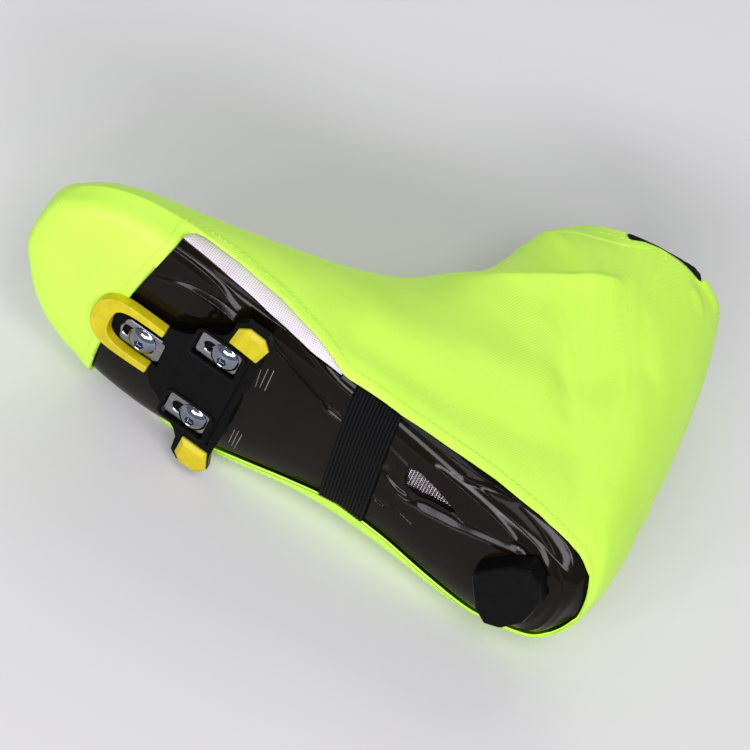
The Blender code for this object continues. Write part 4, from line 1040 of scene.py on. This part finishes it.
def metal(name, dark, light, smooth, rough, stretch, depth):
    """Metal with fine drawn lines: colour and gloss vary along them."""
    material, nodes, shader = new_material(name, {"Metallic": 1.0})
    place = add(nodes, "ShaderNodeTexCoord").outputs["Object"]
    drawn = add(nodes, "ShaderNodeMapping", {
        "Vector": place, "Rotation": (0, 0, -CLEAT_TURN), "Scale": stretch}).outputs["Vector"]
    lines = add(nodes, "ShaderNodeTexNoise", {
        "Vector": drawn, "Scale": 260.0, "Detail": 5.0, "Roughness": 0.7}).outputs["Fac"]
    colour = add(nodes, "ShaderNodeValToRGB", {"Fac": lines},
                 ((0.3, dark), (0.7, light))).outputs["Color"]
    gloss = add(nodes, "ShaderNodeMapRange", {
        "Value": lines, "From Min": 0.3, "From Max": 0.7, "To Min": smooth,
        "To Max": rough}).outputs["Result"]
    finish_shader(nodes, shader, colour, lines, 0.3, depth * MM, gloss)
    return material


KNIT = knitted_polyester_elastane()
THREAD = sewing_thread()
WHITE_SKIN = perforated_microfibre()
SOLE_SKIN = lacquered_nylon("lacquered_nylon_composite", "#0c0803", "#130e06", 0.135)
COUNTER_SKIN = lacquered_nylon("lacquered_heel_counter", "#070707", "#0c0c0c", 0.10)
ELASTIC = woven_elastic(False)
ELASTIC_RIB = woven_elastic(True)
BED_CLOTH = brushed_polyester()
GRIP = moulded("silicone_grip_tape", "#050605", "#0a0b0a", 0.40, 0.55, 0.8, 0.12, 0.06)
PAD_RUBBER = moulded("moulded_polyurethane", "#060606", "#0b0b0b", 0.26, 0.38, 0.5, 0.05, 0.06)
CLEAT_NYLON = moulded("moulded_nylon", "#050505", "#090909", 0.26, 0.40, 0.6, 0.05, 0.06)
TREAD = moulded("thermoplastic_polyurethane", "#b9ab04", "#cdc009", 0.34, 0.50, 0.7, 0.05, 0.35)
STEEL = metal("stamped_nickel_plated_steel", "#7f7f84", "#a9a8ac", 0.18, 0.32, (0.25, 2, 2), 0.02)
CHROME = metal("polished_chromed_steel", "#737c8a", "#939ba8", 0.04, 0.08, (1, 1, 1), 0.002)
WIRE = metal("drawn_stainless_wire", "#8b8286", "#cfc4c9", 0.25, 0.40, (1, 1, 1), 0.01)
INK = moulded("pad_printed_ink", "#6f6b69", "#9b9693", 0.55, 0.75, 0.4, 0.02)


# ---------------------------------------------------------------- bars and stitches

def tree_with(name, sizes):
    """An empty geometry tree with named sizes as its inputs."""
    tree = bpy.data.node_groups.new(name, "GeometryNodeTree")
    for size in ("Geometry", *sizes, "Material"):
        kind = {"Geometry": "Geometry", "Material": "Material"}.get(size, "Float")
        tree.interface.new_socket(size, in_out="INPUT", socket_type="NodeSocket" + kind)
    tree.interface.new_socket("Geometry", in_out="OUTPUT", socket_type="NodeSocketGeometry")
    return tree, tree.nodes, add(tree.nodes, "NodeGroupInput").outputs


def finish_tree(nodes, geometry, material):
    """Makes the instances real, smooth and of the material, as the tree's output."""
    real = add(nodes, "GeometryNodeRealizeInstances", {"Geometry": geometry})
    smooth = add(nodes, "GeometryNodeSetShadeSmooth", {"Geometry": real.outputs[0]})
    named = add(nodes, "GeometryNodeSetMaterial", {
        "Geometry": smooth.outputs[0], "Material": material})
    add(nodes, "NodeGroupOutput", {"Geometry": named.outputs[0]})


def bar_tree():
    """Round bars along a mesh's edges: wires, ribs and printed lines."""
    tree, nodes, given = tree_with("round_bars", ("Radius",))
    path = add(nodes, "GeometryNodeMeshToCurve", {"Mesh": given["Geometry"]})
    ring = add(nodes, "GeometryNodeCurvePrimitiveCircle", {
        "Resolution": BAR_SIDES, "Radius": given["Radius"]})
    bars = add(nodes, "GeometryNodeCurveToMesh", {
        "Curve": path.outputs[0], "Profile Curve": ring.outputs[0], "Fill Caps": True})
    finish_tree(nodes, bars.outputs[0], given["Material"])
    return tree


def stitch_tree():
    """Stitches laid end to end along a mesh's edges."""
    tree, nodes, given = tree_with("stitches", ("Pitch", "Length", "Thread"))
    path = add(nodes, "GeometryNodeMeshToCurve", {"Mesh": given["Geometry"]})
    even = add(nodes, "GeometryNodeResampleCurve", {
        "Curve": path.outputs[0], "Length": given["Pitch"]}, mode="LENGTH")
    stitch = add(nodes, "GeometryNodeMeshUVSphere", {"Segments": 6, "Rings": 4, "Radius": 0.5})
    along = add(nodes, "FunctionNodeAlignRotationToVector", {
        "Vector": add(nodes, "GeometryNodeInputTangent").outputs[0]}, axis="X")
    size = add(nodes, "ShaderNodeCombineXYZ", {
        "X": given["Length"], "Y": given["Thread"], "Z": given["Thread"]})
    sewn = add(nodes, "GeometryNodeInstanceOnPoints", {
        "Points": even.outputs[0], "Instance": stitch.outputs["Mesh"],
        "Rotation": along.outputs[0], "Scale": size.outputs[0]})
    finish_tree(nodes, sewn.outputs[0], given["Material"])
    return tree


BARS = bar_tree()
STITCHES = stitch_tree()


def bake(obj):
    """Fixes the modifiers' result in the object's mesh."""
    graph = bpy.context.evaluated_depsgraph_get()
    made = bpy.data.meshes.new_from_object(obj.evaluated_get(graph), depsgraph=graph)
    made.name = obj.name
    obj.modifiers.clear()
    obj.data = made


def grow(name, paths, tree, sizes, material):
    """Makes a geometry tree's piece along paths in the shoe's frame."""
    edges = []
    start = 0
    for path in paths:
        edges += [(start + i, start + i + 1) for i in range(len(path) - 1)]
        start += len(path)
    places = np.vstack(paths)
    mesh = bpy.data.meshes.new(name)
    mesh.from_pydata([tuple(p) for p in in_world(places)], edges, [])
    layer = mesh.attributes.new("lay", "FLOAT_VECTOR", "POINT")
    layer.data.foreach_set("vector", places.astype(np.float32).ravel())
    obj = placed(name, mesh)
    modifier = obj.modifiers.new(name, "NODES")
    modifier.node_group = tree
    for item in tree.interface.items_tree:
        if item.in_out == "INPUT" and item.name in sizes:
            modifier[item.identifier] = sizes[item.name]
        elif item.in_out == "INPUT" and item.name == "Material":
            modifier[item.identifier] = material
    bake(obj)
    return obj


# ---------------------------------------------------------------- the overshoe and the shoe

sock = Form(stations_between(*SOCK_STATIONS),
            np.linspace(-math.pi, math.pi, SOCK_COLUMNS, endpoint=False))


def make_overshoe():
    """The knit, trimmed at the collar where the tape is bare, with its folds and its hem."""
    on_tape = (sock.angle - TAPE_FROM) / (TAPE_TO - TAPE_FROM)
    bare = np.interp(on_tape, *np.array(TAPE_BARE).T) * MM
    keep = np.minimum(sock.hem - HEM_GAP, sock.drop - bare - COLLAR_TRIM)
    obj = shell("overshoe_knit", sock, 0.0, FABRIC, keep, KNIT)
    fine = [line for line in CLOTH_RELIEF if line[2] <= FINE_FOLD or line[0] == "step"]
    mould(obj, 0.0, CLOTH_RELIEF, fine, FABRIC_PASSES, HEM_RISE)
    hand_over(obj, "cover_fabric", "overshoe_upper")


def make_seams():
    """The stitch lines of the hem and the collar, laid just on the fabric."""
    paths = []
    for field, at_collar in ((sock.hem - HEM_SEAM, False), (sock.drop - COLLAR_SEAM, True)):
        trim = Trim(field)
        normal = trim.read(sock.normal)
        ground = trim.read(sock.grid)
        rise = relief(ground / MM, normal, CLOTH_RELIEF) * MM
        rise = rise + STITCH_THREAD * STITCH_RIDE + (0 if at_collar else HEM_RISE)
        laid = ground + normal * rise[:, None]
        for loop in trim.loops():
            if (laid[loop, 2].mean() > COLLAR_FRONT_HEIGHT / 2) == at_collar:
                paths.append(laid[loop])
    obj = grow("hem_stitches", paths, STITCHES, {
        "Pitch": STITCH_PITCH, "Length": STITCH_LENGTH, "Thread": STITCH_THREAD}, THREAD)
    hand_over(obj, "cover_fabric")


def make_shoe_upper():
    """The white upper, of which a strip shows beside the hem."""
    keep = np.minimum(sock.z - sock.rim - RIM_GAP / 2, sock.topline - sock.z)
    obj = shell("shoe_upper_skin", sock, SKIN, UPPER_WALL, keep, WHITE_SKIN)
    hand_over(obj, "shoe_skin", "shoe_upper")


def make_heel_counter():
    """The black lacquered cup that stiffens the upper behind the arch."""
    keep = np.minimum.reduce([
        sock.z - sock.rim + COUNTER_LAP, sock.rim + COUNTER_HEIGHT - sock.z,
        (COUNTER_FROM_HEEL - sock.x) + COUNTER_SLANT * (sock.rim - sock.z)])
    obj = shell("heel_counter", sock, COUNTER, COUNTER_WALL, keep, COUNTER_SKIN)
    hand_over(obj, "shoe_skin")


def make_footbed():
    """The dished bed inside the shoe, from behind the toes to the heel."""
    first, last = BED_SECTIONS
    keep = np.minimum.reduce([
        sock.low + BED_DISH - sock.z, (sock.section - first) * SECTION_STEP,
        (last - sock.section) * SECTION_STEP])
    obj = shell("footbed", sock, BED, BED_WALL, keep, BED_CLOTH)
    hand_over(obj, "footbed", "insole")


def make_strap():
    """The elastic across the arch, and the rope-like ribs that run along it."""
    form = Form(stations_between(*STRAP_STATIONS),
                np.radians(np.linspace(-STRAP_SPAN, STRAP_SPAN, STRAP_COLUMNS)))
    offset = form.x - (STRAP_FROM_HEEL + STRAP_SLANT * form.y)
    half = STRAP_WIDTH / 2 * math.hypot(1, STRAP_SLANT)
    form.lay = np.stack([offset, form.around, form.hem], 2)
    keep = np.minimum(half - np.abs(offset), -HEM_GAP - form.side_hem)
    keep[:, -1] = -1
    keep[0, :] = -1
    obj = shell("arch_elastic", form, 0.0, STRAP_WALL, keep, ELASTIC)
    hand_over(obj, "elastic", "arch_strap")
    count = int(2 * (half - RIB_PITCH / 2) / RIB_PITCH)
    paths = []
    for k in range(count + 1):
        line = (k - count / 2) * RIB_PITCH
        path = []
        for j in range(form.x.shape[1] - 1):
            sections = form.section[:, j]
            station = np.interp([-line], -offset[:, j], sections)
            turn = form.angle[:1, j]
            if np.interp(station[0], sections, form.side_hem[:, j]) < -RIB_END:
                path.append((on_form(station, turn) - out_of_form(station, turn) * RIB_SINK)[0])
        paths.append(np.array(path))
    ribs = grow("arch_elastic_ribs", paths, BARS, {"Radius": RIB_RADIUS}, ELASTIC_RIB)
    hand_over(ribs, "elastic", "arch_strap")


def outside_of(outline, x, y):
    """Distance outside an outline in the ground plane, negative inside it."""
    points = np.array(outline) * MM
    ends = np.roll(points, -1, 0)
    nearest = np.full(x.shape, 1.0)
    inside = np.zeros(x.shape, bool)
    for (ax, ay), (bx, by) in zip(points, ends):
        dx, dy = bx - ax, by - ay
        t = np.clip(((x - ax) * dx + (y - ay) * dy) / (dx * dx + dy * dy), 0, 1)
        nearest = np.minimum(nearest, np.hypot(x - ax - t * dx, y - ay - t * dy))
        crosses = (ay > y) != (by > y)
        inside ^= crosses & (ax + (y - ay) * dx / (dy if dy else 1) > x)
    return np.where(inside, -nearest, nearest)


def sole_grid():
    """A grid that is finest under the sole, where its relief is drawn."""
    share = np.linspace(-1, 1, SOLE_COLUMNS)
    low = np.radians(SOLE_SPAN) * np.sign(share) * np.abs(share) ** SOLE_CROWDING
    top = np.radians(np.linspace(SOLE_SPAN, 360 - SOLE_SPAN, SOLE_TOP_COLUMNS)[1:-1])
    angles = np.concatenate([low, np.where(top > math.pi, top - 2 * math.pi, top)])
    return Form(stations_between(*SOLE_STATIONS), np.sort(angles))


sole = sole_grid()


def make_sole():
    """The glossy sole, with the vent's window cut through it."""
    window = np.where(sole.z < sole.rim, outside_of(WINDOW, sole.x, sole.y), 1.0)
    keep = np.minimum(sole.rim - RIM_GAP / 2 - sole.z, window)
    obj = shell("gloss_sole", sole, SKIN, SOLE_WALL, keep, SOLE_SKIN)
    mould(obj, SKIN, SOLE_RELIEF, SOLE_RELIEF, SOLE_PASSES)
    hand_over(obj, "gloss_sole", "outsole")


def on_sole(x, y, depth):
    """The sole's point over a place on the ground, that deep under the covered form."""
    low = sole.z < sole.rim
    gap = np.where(low, np.hypot(sole.x - x, sole.y - y), 1.0)
    i, j = np.unravel_index(np.argmin(gap), gap.shape)
    point, normal = sole.grid[i, j], sole.normal[i, j]
    z = point[2] - (normal[0] * (x - point[0]) + normal[1] * (y - point[1])) / normal[2]
    return np.array([x, y, z]) - normal * depth


def make_scale_marks():
    """Plain printed lines beside the cleat, by which it is set square."""
    paths = []
    for start, end in SCALE_MARKS:
        ways = np.linspace(start, end, MARK_POINTS) * MM
        depth = SKIN + MARK_RADIUS * MARK_SINK
        paths.append(np.array([on_sole(x, y, depth) for x, y in ways]))
    obj = grow("scale_marks", paths, BARS, {"Radius": MARK_RADIUS}, INK)
    hand_over(obj, "gloss_sole")


def make_vent():
    """Two sets of wires that pass over and under each other behind the window."""
    middle = np.mean(WINDOW, axis=0) * MM
    reach = int(WIRE_REACH / WIRE_PITCH)
    way = np.array([math.cos(WIRE_TURN), math.sin(WIRE_TURN)])
    paths = []
    for turn in (0, 1):
        along = way if turn == 0 else np.array([-way[1], way[0]])
        aside = np.array([-along[1], along[0]])
        for i in range(-reach, reach + 1):
            run = []
            for j in range(-2 * reach, 2 * reach + 1):
                x, y = middle + aside * i * WIRE_PITCH + along * j * WIRE_PITCH / 2
                if outside_of(WINDOW, np.array(x), np.array(y)) < WIRE_LAP:
                    wave = math.cos(math.pi * (j / 2 + i + turn)) if j % 2 == 0 else 0.0
                    run.append(on_sole(x, y, SKIN + WIRE_DEPTH + wave * WIRE_RADIUS))
            if len(run) > LEAST_WIRE:
                paths.append(np.array(run))
    obj = grow("vent_wires", paths, BARS, {"Radius": WIRE_RADIUS}, WIRE)
    hand_over(obj, "vent_mesh", "vent_mesh")


def make_collar_tape():
    """Grip tape inside the collar, its rounded edge standing above the fabric."""
    share = np.linspace(0, 1, TAPE_POINTS)
    angle = TAPE_FROM + (TAPE_TO - TAPE_FROM) * share
    last = np.full(len(share), float(len(FORM) - 1))
    top = on_form(last, angle)
    rule = unit(top - on_form(last - 0.5, angle))
    normal = out_of_form(last, angle)
    rise = np.interp(share, *np.array(TAPE_EDGE).T) * TAPE_RISE
    ragged = 1 + sum(high * np.sin(share * pace) for high, pace in TAPE_RAGGED)
    # Its profile: the share of the wall's depth, the height, and whether that rises.
    profile = ((0, -TAPE_DEPTH, 0), (0, -TAPE_ROUND, 1), (0.2, 0, 1), (0.8, 0, 1),
               (1, -TAPE_ROUND, 1), (1, -TAPE_DEPTH, 0))
    lines = []
    for depth, height, rises in profile:
        up = height + rises * rise * ragged
        inwards = FABRIC + TAPE_GAP + TAPE_WALL * depth
        lines.append(top - normal * inwards + rule * up[:, None])
    verts, faces = ring_stack(list(np.stack(lines, 1)))
    obj = add_piece("collar_grip_tape", verts, faces, GRIP)
    hand_over(obj, "grip_tape", "collar_gripper")


# ---------------------------------------------------------------- the cleat, bolts and heel pad

def ring_stack(rings, closed=False):
    """Vertices and faces that join rings of equal count; open ends are capped."""
    count = len(rings[0])
    total = len(rings)
    faces = []
    for k in range(total if closed else total - 1):
        low, high = k * count, (k + 1) % total * count
        for i in range(count):
            j = (i + 1) % count
            faces.append([low + i, low + j, high + j, high + i])
    if not closed:
        faces.append(list(range(count))[::-1])
        faces.append(list(range((total - 1) * count, total * count)))
    return np.vstack(rings), faces


CLEAT_PLACE = (
    Matrix.Translation((CLEAT_FROM_HEEL + CLEAT_TAIL * math.cos(CLEAT_TURN),
                        CLEAT_SIDE + CLEAT_TAIL * math.sin(CLEAT_TURN), 0))
    @ Matrix.Rotation(CLEAT_TURN, 4, "Z") @ Matrix.Rotation(-CLEAT_TILT, 4, "Y")
    @ Matrix.Translation((-CLEAT_TAIL, 0, 0)))


def in_cleat(points):
    """From the cleat's own forward, side and height to the shoe's frame."""
    place = np.array(CLEAT_PLACE)
    return np.asarray(points) @ place[:3, :3].T + place[:3, 3]


def level(outline, z):
    """A ring at one height."""
    outline = np.asarray(outline)
    return np.column_stack([outline, np.full(len(outline), z)])


def round_box(x, y, length, width, corner, count=ROUND_POINTS):
    """A rectangle with round corners, as points in even steps round each corner."""
    quarter = count // 4
    points = []
    for i in range(count):
        turn = (i + 0.5) * 2 * math.pi / count
        quadrant = i // quarter
        right = 1 if quadrant in (0, 3) else -1
        upper = 1 if quadrant < 2 else -1
        points.append((x + right * (length / 2 - corner) + corner * math.cos(turn),
                       y + upper * (width / 2 - corner) + corner * math.sin(turn)))
    return np.array(points)


def disc(x, y, radius):
    """A circle with as many points as a round box."""
    return round_box(x, y, 2 * radius, 2 * radius, radius)


def six_sided(x, y, across, count=ROUND_POINTS):
    """A hexagon of that width over its flats, with as many points as a round box."""
    points = []
    for i in range(count):
        turn = (i + 0.5) * 2 * math.pi / count
        reach = across / 2 / math.cos(turn % (math.pi / 3) - math.pi / 6)
        points.append((x + reach * math.cos(turn), y + reach * math.sin(turn)))
    return np.array(points)


def drawn_in(outline, by):
    """The outline moved inwards."""
    points = np.asarray(outline)
    before = unit(points - np.roll(points, 1, 0))
    after = unit(np.roll(points, -1, 0) - points)
    turn = np.sign(np.sum(points[:, 0] * np.roll(points[:, 1], -1)
                          - np.roll(points[:, 0], -1) * points[:, 1]))
    left = unit(np.column_stack([-(before + after)[:, 1], (before + after)[:, 0]]))
    square = np.column_stack([-before[:, 1], before[:, 0]])
    miter = np.maximum(np.sum(left * square, 1, keepdims=True), 0.5)
    return points + left * turn * by / miter


def round_edges(obj, width, segments, cutters=()):
    """Cuts the piece, rounds its edges and fixes the result in its mesh."""
    for cutter in cutters:
        cut = obj.modifiers.new(cutter.name, "BOOLEAN")
        cut.operation = "DIFFERENCE"
        cut.solver = "EXACT"
        cut.object = cutter
    edges = obj.modifiers.new("edges", "BEVEL")
    edges.width = width
    edges.segments = segments
    edges.limit_method = "ANGLE"
    edges.angle_limit = ROUNDED_FROM
    even = obj.modifiers.new("even", "WEIGHTED_NORMAL")
    even.keep_sharp = True
    bake(obj)
    for cutter in cutters:
        bpy.data.objects.remove(cutter, do_unlink=True)
    return obj


def cleat_share(half):
    """Points given as shares of the cleat's length and half width, in metres."""
    return np.array([(CLEAT_TAIL + f * CLEAT_LENGTH, s * CLEAT_WIDTH / 2) for f, s in half])


def from_node(name, node, material):
    """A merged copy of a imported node, to be finished."""
    work = bmesh.new()
    work.from_mesh(frame["nodes"][node].data)
    bmesh.ops.remove_doubles(work, verts=work.verts, dist=MERGE_WITHIN)
    bmesh.ops.dissolve_limit(work, angle_limit=FLAT_UNDER, verts=work.verts,
                             edges=work.edges)
    mesh = bpy.data.meshes.new(name)
    work.to_mesh(mesh)
    work.free()
    mesh.materials.append(material)
    mesh.shade_smooth()
    return placed(name, mesh)


def cleat_piece(name, rings, material, closed=False):
    """A piece from rings in the cleat's own frame."""
    verts, faces = ring_stack(rings, closed)
    return add_piece(name, in_cleat(verts), faces, material)


def both_sides(half):
    """A closed outline from one half of it, given from the nose along one side."""
    other = [(f, -s) for f, s in half if s > 1e-9]
    return np.array(list(half) + other[::-1])


def make_cleat_body():
    """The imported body, cut back to its face and to the nose that the photo shows, with
    beads round its side plates."""
    cutters = {name: cleat_piece(name, [level(round_box(*middle, *size, corner, CUT_POINTS), z)
                                        for z in heights], CLEAT_NYLON)
               for name, (middle, size, corner, heights) in CUT_BLOCKS.items()}
    aside = (0, NOSE_SIDE)
    hollow = drawn_in(cleat_share(both_sides(NOSE_INNER[::-1])), -NOSE_CLEAR) + aside
    seat = [level(hollow, z) for z in (CUT_START, NOSE_WALL - NOSE_SEAT)]
    cutters["nose_seat"] = cleat_piece("nose_seat", seat, CLEAT_NYLON)
    kept = drawn_in(cleat_share(both_sides(NOSE_OUTER + BEHIND_NOSE)), NOSE_COVER) + aside
    beyond = (kept - kept.mean(0)) * CUT_BEYOND + kept.mean(0)
    rings = [level(ring, z) for ring, z in (
        (kept, CUT_LOW), (kept, CUT_HIGH), (beyond, CUT_HIGH), (beyond, CUT_LOW))]
    cutters["around"] = cleat_piece("around", rings, CLEAT_NYLON, closed=True)
    order = ("face", "nose_seat", "tail_slit", "front", "around", "left_wing", "right_wing")
    body = from_node("cleat_body_nylon", "cleat_body", CLEAT_NYLON)
    round_edges(body, CLEAT_EDGE, 3, [cutters[name] for name in order])
    hand_over(body, "cleat_black", "cleat_body")
    for name, forward, side, shift in BOLTS[1:]:
        rings = [level(round_box(forward + shift, side, long, wide, BEAD_CORNER), CLEAT_FACE + z)
                 for long, wide, z in BEAD]
        bead = cleat_piece("cleat_frame_" + name, rings, CLEAT_NYLON, closed=True)
        hand_over(bead, "cleat_black")


def make_nose_pad():
    """The horseshoe tread round the cleat's nose."""
    outer = smooth_line(cleat_share(NOSE_OUTER))
    inner = smooth_line(cleat_share(NOSE_INNER[::-1]))
    mirror = np.array([1, -1])
    outline = np.vstack([outer[::-1], (outer * mirror)[1:], (inner * mirror)[::-1], inner[1:]])
    outline = outline + (0, NOSE_SIDE)
    rings = [level(outline, z) for z in (0.0, NOSE_LIP)]
    pad = round_edges(cleat_piece("cleat_nose_tread", rings, TREAD), CLEAT_EDGE, 3)
    hand_over(pad, "cleat_yellow", "cleat_nose_pad")


def make_wing_pads():
    """The treads under the wings, whose sides slope in towards the ground."""
    for name, side, shares in (("left", 1, LEFT_WING), ("right", -1, RIGHT_WING)):
        outline = cleat_share(shares) * np.array([1, side])
        grown = drawn_in(outline, -WING_GROWTH)
        rings = [level(grown, WING_WALL), level(grown, WING_SKIRT),
                 level(drawn_in(outline, WING_SLOPE), 0.0)]
        pad = round_edges(cleat_piece("cleat_wing_tread_" + name, rings, TREAD), TREAD_EDGE, 2)
        hand_over(pad, "cleat_yellow", "cleat_wing_pad_" + name)


def make_plate(name, forward, side, shift):
    """A stamped plate with the slot that its bolt slides in."""
    high = PLATE_LOW + PLATE_WALL
    rings = [level(round_box(forward + shift, side, PLATE_LENGTH - 2 * inset,
                             PLATE_WIDTH - 2 * inset, PLATE_CORNER - inset), z)
             for inset, z in ((0, high), (0, PLATE_LOW + PLATE_EDGE), (PLATE_EDGE, PLATE_LOW))]
    rings += [level(round_box(forward + SLOT_SHIFT, side, SLOT_LENGTH + 2 * flare,
                              SLOT_WIDTH + 2 * flare, SLOT_WIDTH / 2 + flare), z)
              for flare, z in ((SLOT_EDGE, PLATE_LOW), (0, PLATE_LOW + SLOT_EDGE), (0, high))]
    plate = cleat_piece("cleat_plate_" + name, rings, STEEL, closed=True)
    plate.data.set_sharp_from_angle(angle=PLATE_SHARP_FROM)
    hand_over(plate, "washer_steel", "cleat_washer_" + name)


def make_bolt(name, forward, side):
    """A domed bolt with its hexagon socket, from the socket's floor to the shank's end."""
    seat = PLATE_LOW - BOLT_GAP
    radius = BOLT_HEAD / 2
    dome = radius - BOLT_CHAMFER
    ball = (dome ** 2 + BOLT_DOME ** 2) / (2 * BOLT_DOME)
    top = seat - BOLT_SKIRT - BOLT_DOME
    rings = [level(six_sided(forward, side, across), top + depth) for across, depth in (
        (BOLT_KEY / 2, KEY_DEPTH + KEY_DIP), (BOLT_KEY, KEY_DEPTH), (BOLT_KEY, KEY_CHAMFER),
        (BOLT_KEY + KEY_CHAMFER, KEY_RIM))]
    rings += [level(disc(forward, side, r), top + ball - math.sqrt(ball * ball - r * r))
              for r in np.linspace(BOLT_KEY / 2 + KEY_LAND, dome, DOME_RINGS)]
    rings += [level(disc(forward, side, r), z) for r, z in (
        (radius, seat - BOLT_SKIRT * 0.6), (radius, seat), (BOLT_SHANK / 2, seat),
        (BOLT_SHANK / 2, seat + SHANK_LENGTH))]
    bolt = cleat_piece("cleat_bolt_dome_" + name, rings, CHROME)
    bolt.data.set_sharp_from_angle(angle=BOLT_SHARP_FROM)
    hand_over(bolt, "bolt_chrome", "cleat_bolt_" + name)


def make_plates_and_bolts():
    """The three plates under the cleat, each with its bolt."""
    for name, forward, side, shift in BOLTS:
        make_plate(name, forward, side, shift)
        make_bolt(name, forward, side)


def make_heel_pad():
    """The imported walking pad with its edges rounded."""
    pad = round_edges(from_node("heel_pad_rubber", "heel_pad", PAD_RUBBER), PAD_EDGE, 4)
    hand_over(pad, "pad_rubber", "heel_pad")


make_overshoe()
make_seams()
make_shoe_upper()
make_heel_counter()
make_footbed()
make_strap()
make_sole()
make_scale_marks()
make_vent()
make_collar_tape()
make_cleat_body()
make_nose_pad()
make_wing_pads()
make_plates_and_bolts()
make_heel_pad()


# ---------------------------------------------------------------- studio

def view_frame():
    """The camera's right, up and backward directions in the shoe's own frame."""
    back = np.array([math.cos(CAMERA_BELOW) * math.sin(CAMERA_AROUND),
                     math.cos(CAMERA_BELOW) * math.cos(CAMERA_AROUND),
                     math.sin(CAMERA_BELOW)])
    flat = unit(np.array([1.0, 0, 0]) - back * back[0])
    other = np.cross(back, flat)
    right = math.cos(CAMERA_ROLL) * flat - math.sin(CAMERA_ROLL) * other
    up = math.sin(CAMERA_ROLL) * flat + math.cos(CAMERA_ROLL) * other
    return right, up, back


def make_camera():
    """The photo's camera, which keeps its angle to the shoe as that lies."""
    right, up, back = view_frame()
    aim = np.array(CAMERA_AIM) + right * AIM_SHIFT[0] + up * AIM_SHIFT[1]
    eye = aim + back * CAMERA_DISTANCE
    turn = TURN @ Matrix((right, up, back)).transposed()
    data = bpy.data.cameras.new("camera")
    data.lens = CAMERA_LENS
    camera = placed("camera", data)
    camera.matrix_world = Matrix.Translation(TO_WORLD @ Vector(eye)) @ turn.to_4x4()
    bpy.context.scene.camera = camera


def make_lamp(name, position, size, power, colour):
    """An even, square-cornered lamp that faces the shoe."""
    data = bpy.data.lights.new(name, "AREA")
    data.energy = power
    data.color = linear(colour)[:3]
    data.shape = "RECTANGLE"
    data.size, data.size_y = size
    facing = (Vector(LAMP_AIM) - Vector(position)).to_track_quat("-Z", "Y")
    place = Matrix.Translation(position) @ facing.to_matrix().to_4x4()
    placed(name, data).matrix_world = place


def make_studio():
    """A matt grey card under the shoe, soft light from around, and the lamps."""
    mesh = bpy.data.meshes.new("floor")
    corners = ((-1, -1), (1, -1), (1, 1), (-1, 1))
    mesh.from_pydata([(x * FLOOR_REACH, y * FLOOR_REACH, 0) for x, y in corners], [],
                     [(0, 1, 2, 3)])
    card, _, _ = new_material("matt_studio_card", {
        "Base Color": linear("#d4d4d4"), "Roughness": 0.9, "Specular IOR Level": 0.0})
    mesh.materials.append(card)
    placed("floor", mesh)
    world = bpy.data.worlds.new("studio")
    world.use_nodes = True
    background = world.node_tree.nodes["Background"]
    background.inputs["Color"].default_value = linear("#e8e8ea")
    background.inputs["Strength"].default_value = ROOM_LIGHT
    bpy.context.scene.world = world
    for name, lamp in LAMPS.items():
        make_lamp(name, *lamp)
    bpy.context.scene.view_settings.view_transform = "Standard"


make_camera()
make_studio()
